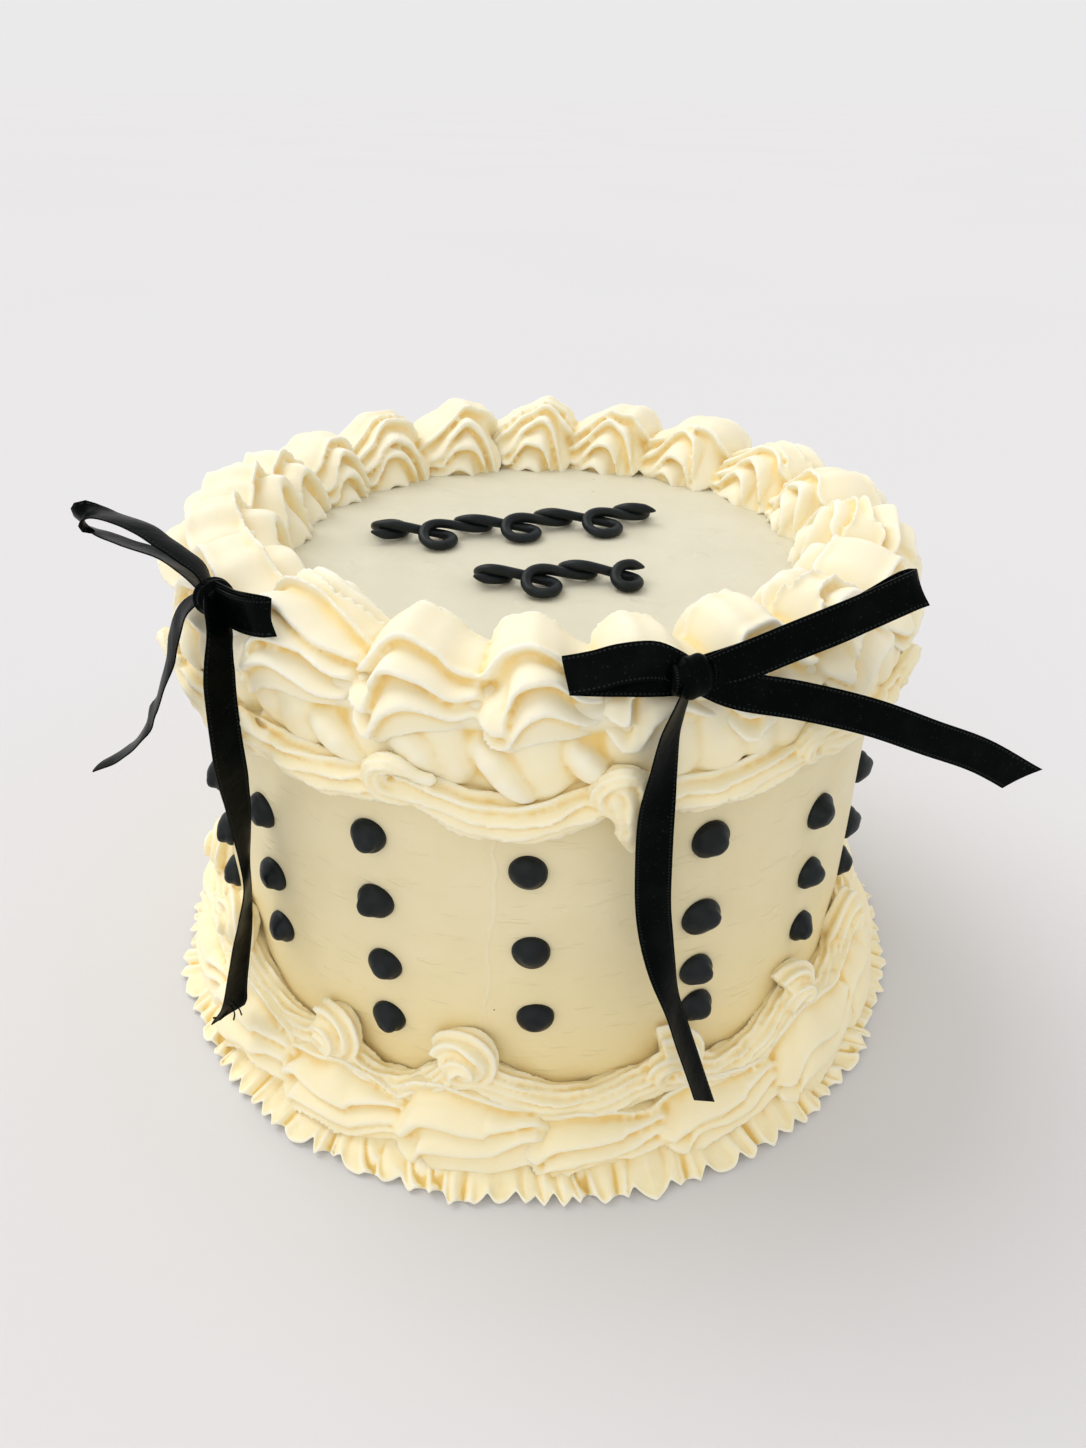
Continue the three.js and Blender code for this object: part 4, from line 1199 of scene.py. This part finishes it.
def ribbonForm(points, widths, seed, cut, width):
    # a thin strip, slightly cupped; cut slants its far end by so many millimetres
    rough = through(np.hstack([np.array(points, float), np.array(widths, float)]), 400)
    length = np.sum(np.linalg.norm(np.diff(rough[:, :3], axis=0), axis=1))
    steps = int(length * ribbon["perMillimetre"]) + 4
    rows = evenly(rough, steps)
    path = rows[:, :3]
    along = unit(np.gradient(path, axis=0))
    wide = squareTo(along, unit(rows[:, 3:]))
    face = np.cross(along, wide)
    share = np.linspace(0, 1, steps)
    lanes = np.linspace(-1, 1, ribbon["lanes"])
    half, thick = width / 2, ribbon["thickness"] / 2
    bowed = ribbon["cup"] * width / ribbon["width"]
    cup = bowed * (0.6 + 0.8 * drift(share * 4, seed))[:, None] * (lanes ** 2 - 0.35)[None]
    pinch = (1 - 0.22 * np.exp(-(share * length / 5) ** 2))[:, None]
    slant = cut * lanes[None] * fillet(1 - 9 / length, 1, share)[:, None]
    middle = (path[:, None] + wide[:, None] * (lanes * half)[None, :, None] * pinch[..., None]
              + face[:, None] * cup[..., None] + along[:, None] * slant[..., None])
    edge = thick * np.sqrt(np.clip(1 - 0.55 * lanes ** 8, 0.2, 1))[None, :, None]
    front, back = middle + face[:, None] * edge, middle - face[:, None] * edge
    ring = np.concatenate([front, back[:, ::-1]], axis=1)
    count = ring.shape[1]
    across = np.tile(np.concatenate([(lanes + 1) / 2, ((lanes + 1) / 2)[::-1]]), (steps, 1))
    places = np.stack([across, np.tile((share * length)[:, None], (1, count))], axis=-1)
    faces = tubeFaces(steps, count, flip=True, tips=False)
    last = (steps - 1) * count
    for lane in range(len(lanes) - 1):
        opposite = count - 1 - lane
        faces.append([lane, lane + 1, opposite - 1, opposite])
        faces.append([last + lane + 1, last + lane, last + opposite, last + opposite - 1])
    return ring.reshape(-1, 3), faces, places.reshape(-1, 2)


def knotForm(knot, radii, outward, seed):
    # the band round the middle of a bow, drawn tight into pleats
    knot, outward = np.array(knot, float), unit(np.array([outward], float))[0]
    side = np.array([-outward[1], outward[0], 0])
    corners, steps = 72, 30
    angle = np.linspace(0, circle, corners, endpoint=False)
    share = np.linspace(-1, 1, steps)
    pleats = 1 + 0.045 * np.cos(8 * share[:, None] + 1.6 * np.sin(angle)[None] + seed)
    bulge = (1 - 0.55 * np.abs(share) ** 2.6)[:, None] * pleats
    rows = (knot + side * (radii[0] * share)[:, None, None]
            + outward * (radii[1] * bulge * np.cos(angle)[None])[..., None]
            + np.array([0, 0, 1.0]) * (radii[2] * bulge * np.sin(angle)[None])[..., None])
    points = np.vstack([rows.reshape(-1, 3), [knot - side * radii[0]], [knot + side * radii[0]]])
    across = np.repeat((share + 1) / 2, corners)
    girth = np.tile(angle * radii[2], steps)
    places = np.vstack([np.stack([across, girth], axis=1), [[0, 0], [1, 0]]])
    return points, tubeFaces(steps, corners), places


def makeBow(name, node, bow):
    knot, forms = bow["knot"], []
    for number, (strip, (points, widths)) in enumerate(bow["strips"].items()):
        points = [knot, *points, knot] if "loop" in strip else [knot, *points]
        cut = bow["cuts"].get(strip, 0.0)
        forms.append(ribbonForm(points, widths, 3 * number + 5, cut, ribbon["width"]))
    for points in bow["threads"]:
        forms.append(ribbonForm(points, [(1, 0.5, 0.2)] * len(points), 1, 0.0, ribbon["thread"]))
    forms.append(knotForm(knot, bow["radii"], (knot[0], knot[1], 0), len(name)))
    piece = makePiece(name, [form[:2] for form in forms])
    places = np.vstack([form[2] for form in forms])
    sheet = piece.data.uv_layers.new(name="weave")
    corners = np.empty(len(piece.data.loops), int)
    piece.data.loops.foreach_get("vertex_index", corners)
    sheet.data.foreach_set("uv", places[corners].ravel())
    reshape(piece, (bpy.ops.mesh.normals_make_consistent, {"inside": False}))
    bpy.ops.object.shade_smooth_by_angle(angle=math.radians(50))
    finishPiece(piece, ribbonFinish, "ribbon", node)


makeBow("front_bow_satin", "front_bow", frontBow)
makeBow("left_bow_satin", "left_bow", leftBow)
print("bows ready")

# the floor and the light
room = {"radius": 40.0, "middle": 1.5, "floor": (0.700, 0.693, 0.697), "sky": (0.83, 0.822, 0.828)}
# towards is where the light comes from, and softness its width in degrees
lights = {
    "windowLight": {"towards": (-0.55, 0.35, 0.9), "softness": 40, "strength": 1.2},
    "frontLight": {"towards": (-0.5, -0.85, 0.45), "softness": 60, "strength": 0.40},
}


def makeFloor():
    bare()
    bpy.ops.mesh.primitive_circle_add(vertices=64, radius=room["radius"], fill_type="NGON")
    floor = bpy.context.object
    floor.name = "floor"
    reshape(floor, (bpy.ops.mesh.inset, {"thickness": room["radius"] - room["middle"]}))
    mix = Recipe("paleFloor")
    shade = mix.noise(mix.place(), 900, 2)
    tone = mix.blend(shade.between(0.3, 0.7), room["floor"], tuple(0.985 * part for part in room["floor"]))
    floor.data.materials.append(mix.serve({"Base Color": tone, "Roughness": 1.0, "Specular IOR Level": 0.0}))


def addSun(name, look):
    bpy.ops.object.light_add(type="SUN")
    lamp = bpy.context.object
    lamp.name = name
    lamp.data.angle = math.radians(look["softness"])
    lamp.data.energy = look["strength"]
    lamp.rotation_euler = (-Vector(look["towards"])).to_track_quat("-Z", "Y").to_euler()


makeFloor()
bare()
for lightName, lightLook in lights.items():
    addSun(lightName, lightLook)
bpy.context.scene.world = bpy.data.worlds.new("room")
bpy.context.scene.world.use_nodes = True
skyNodes = bpy.context.scene.world.node_tree.nodes
skyNodes["Background"].inputs["Color"].default_value = (*room["sky"], 1)
skyNodes["Background"].inputs["Strength"].default_value = 1.0
bpy.context.scene.view_settings.view_transform = "Standard"
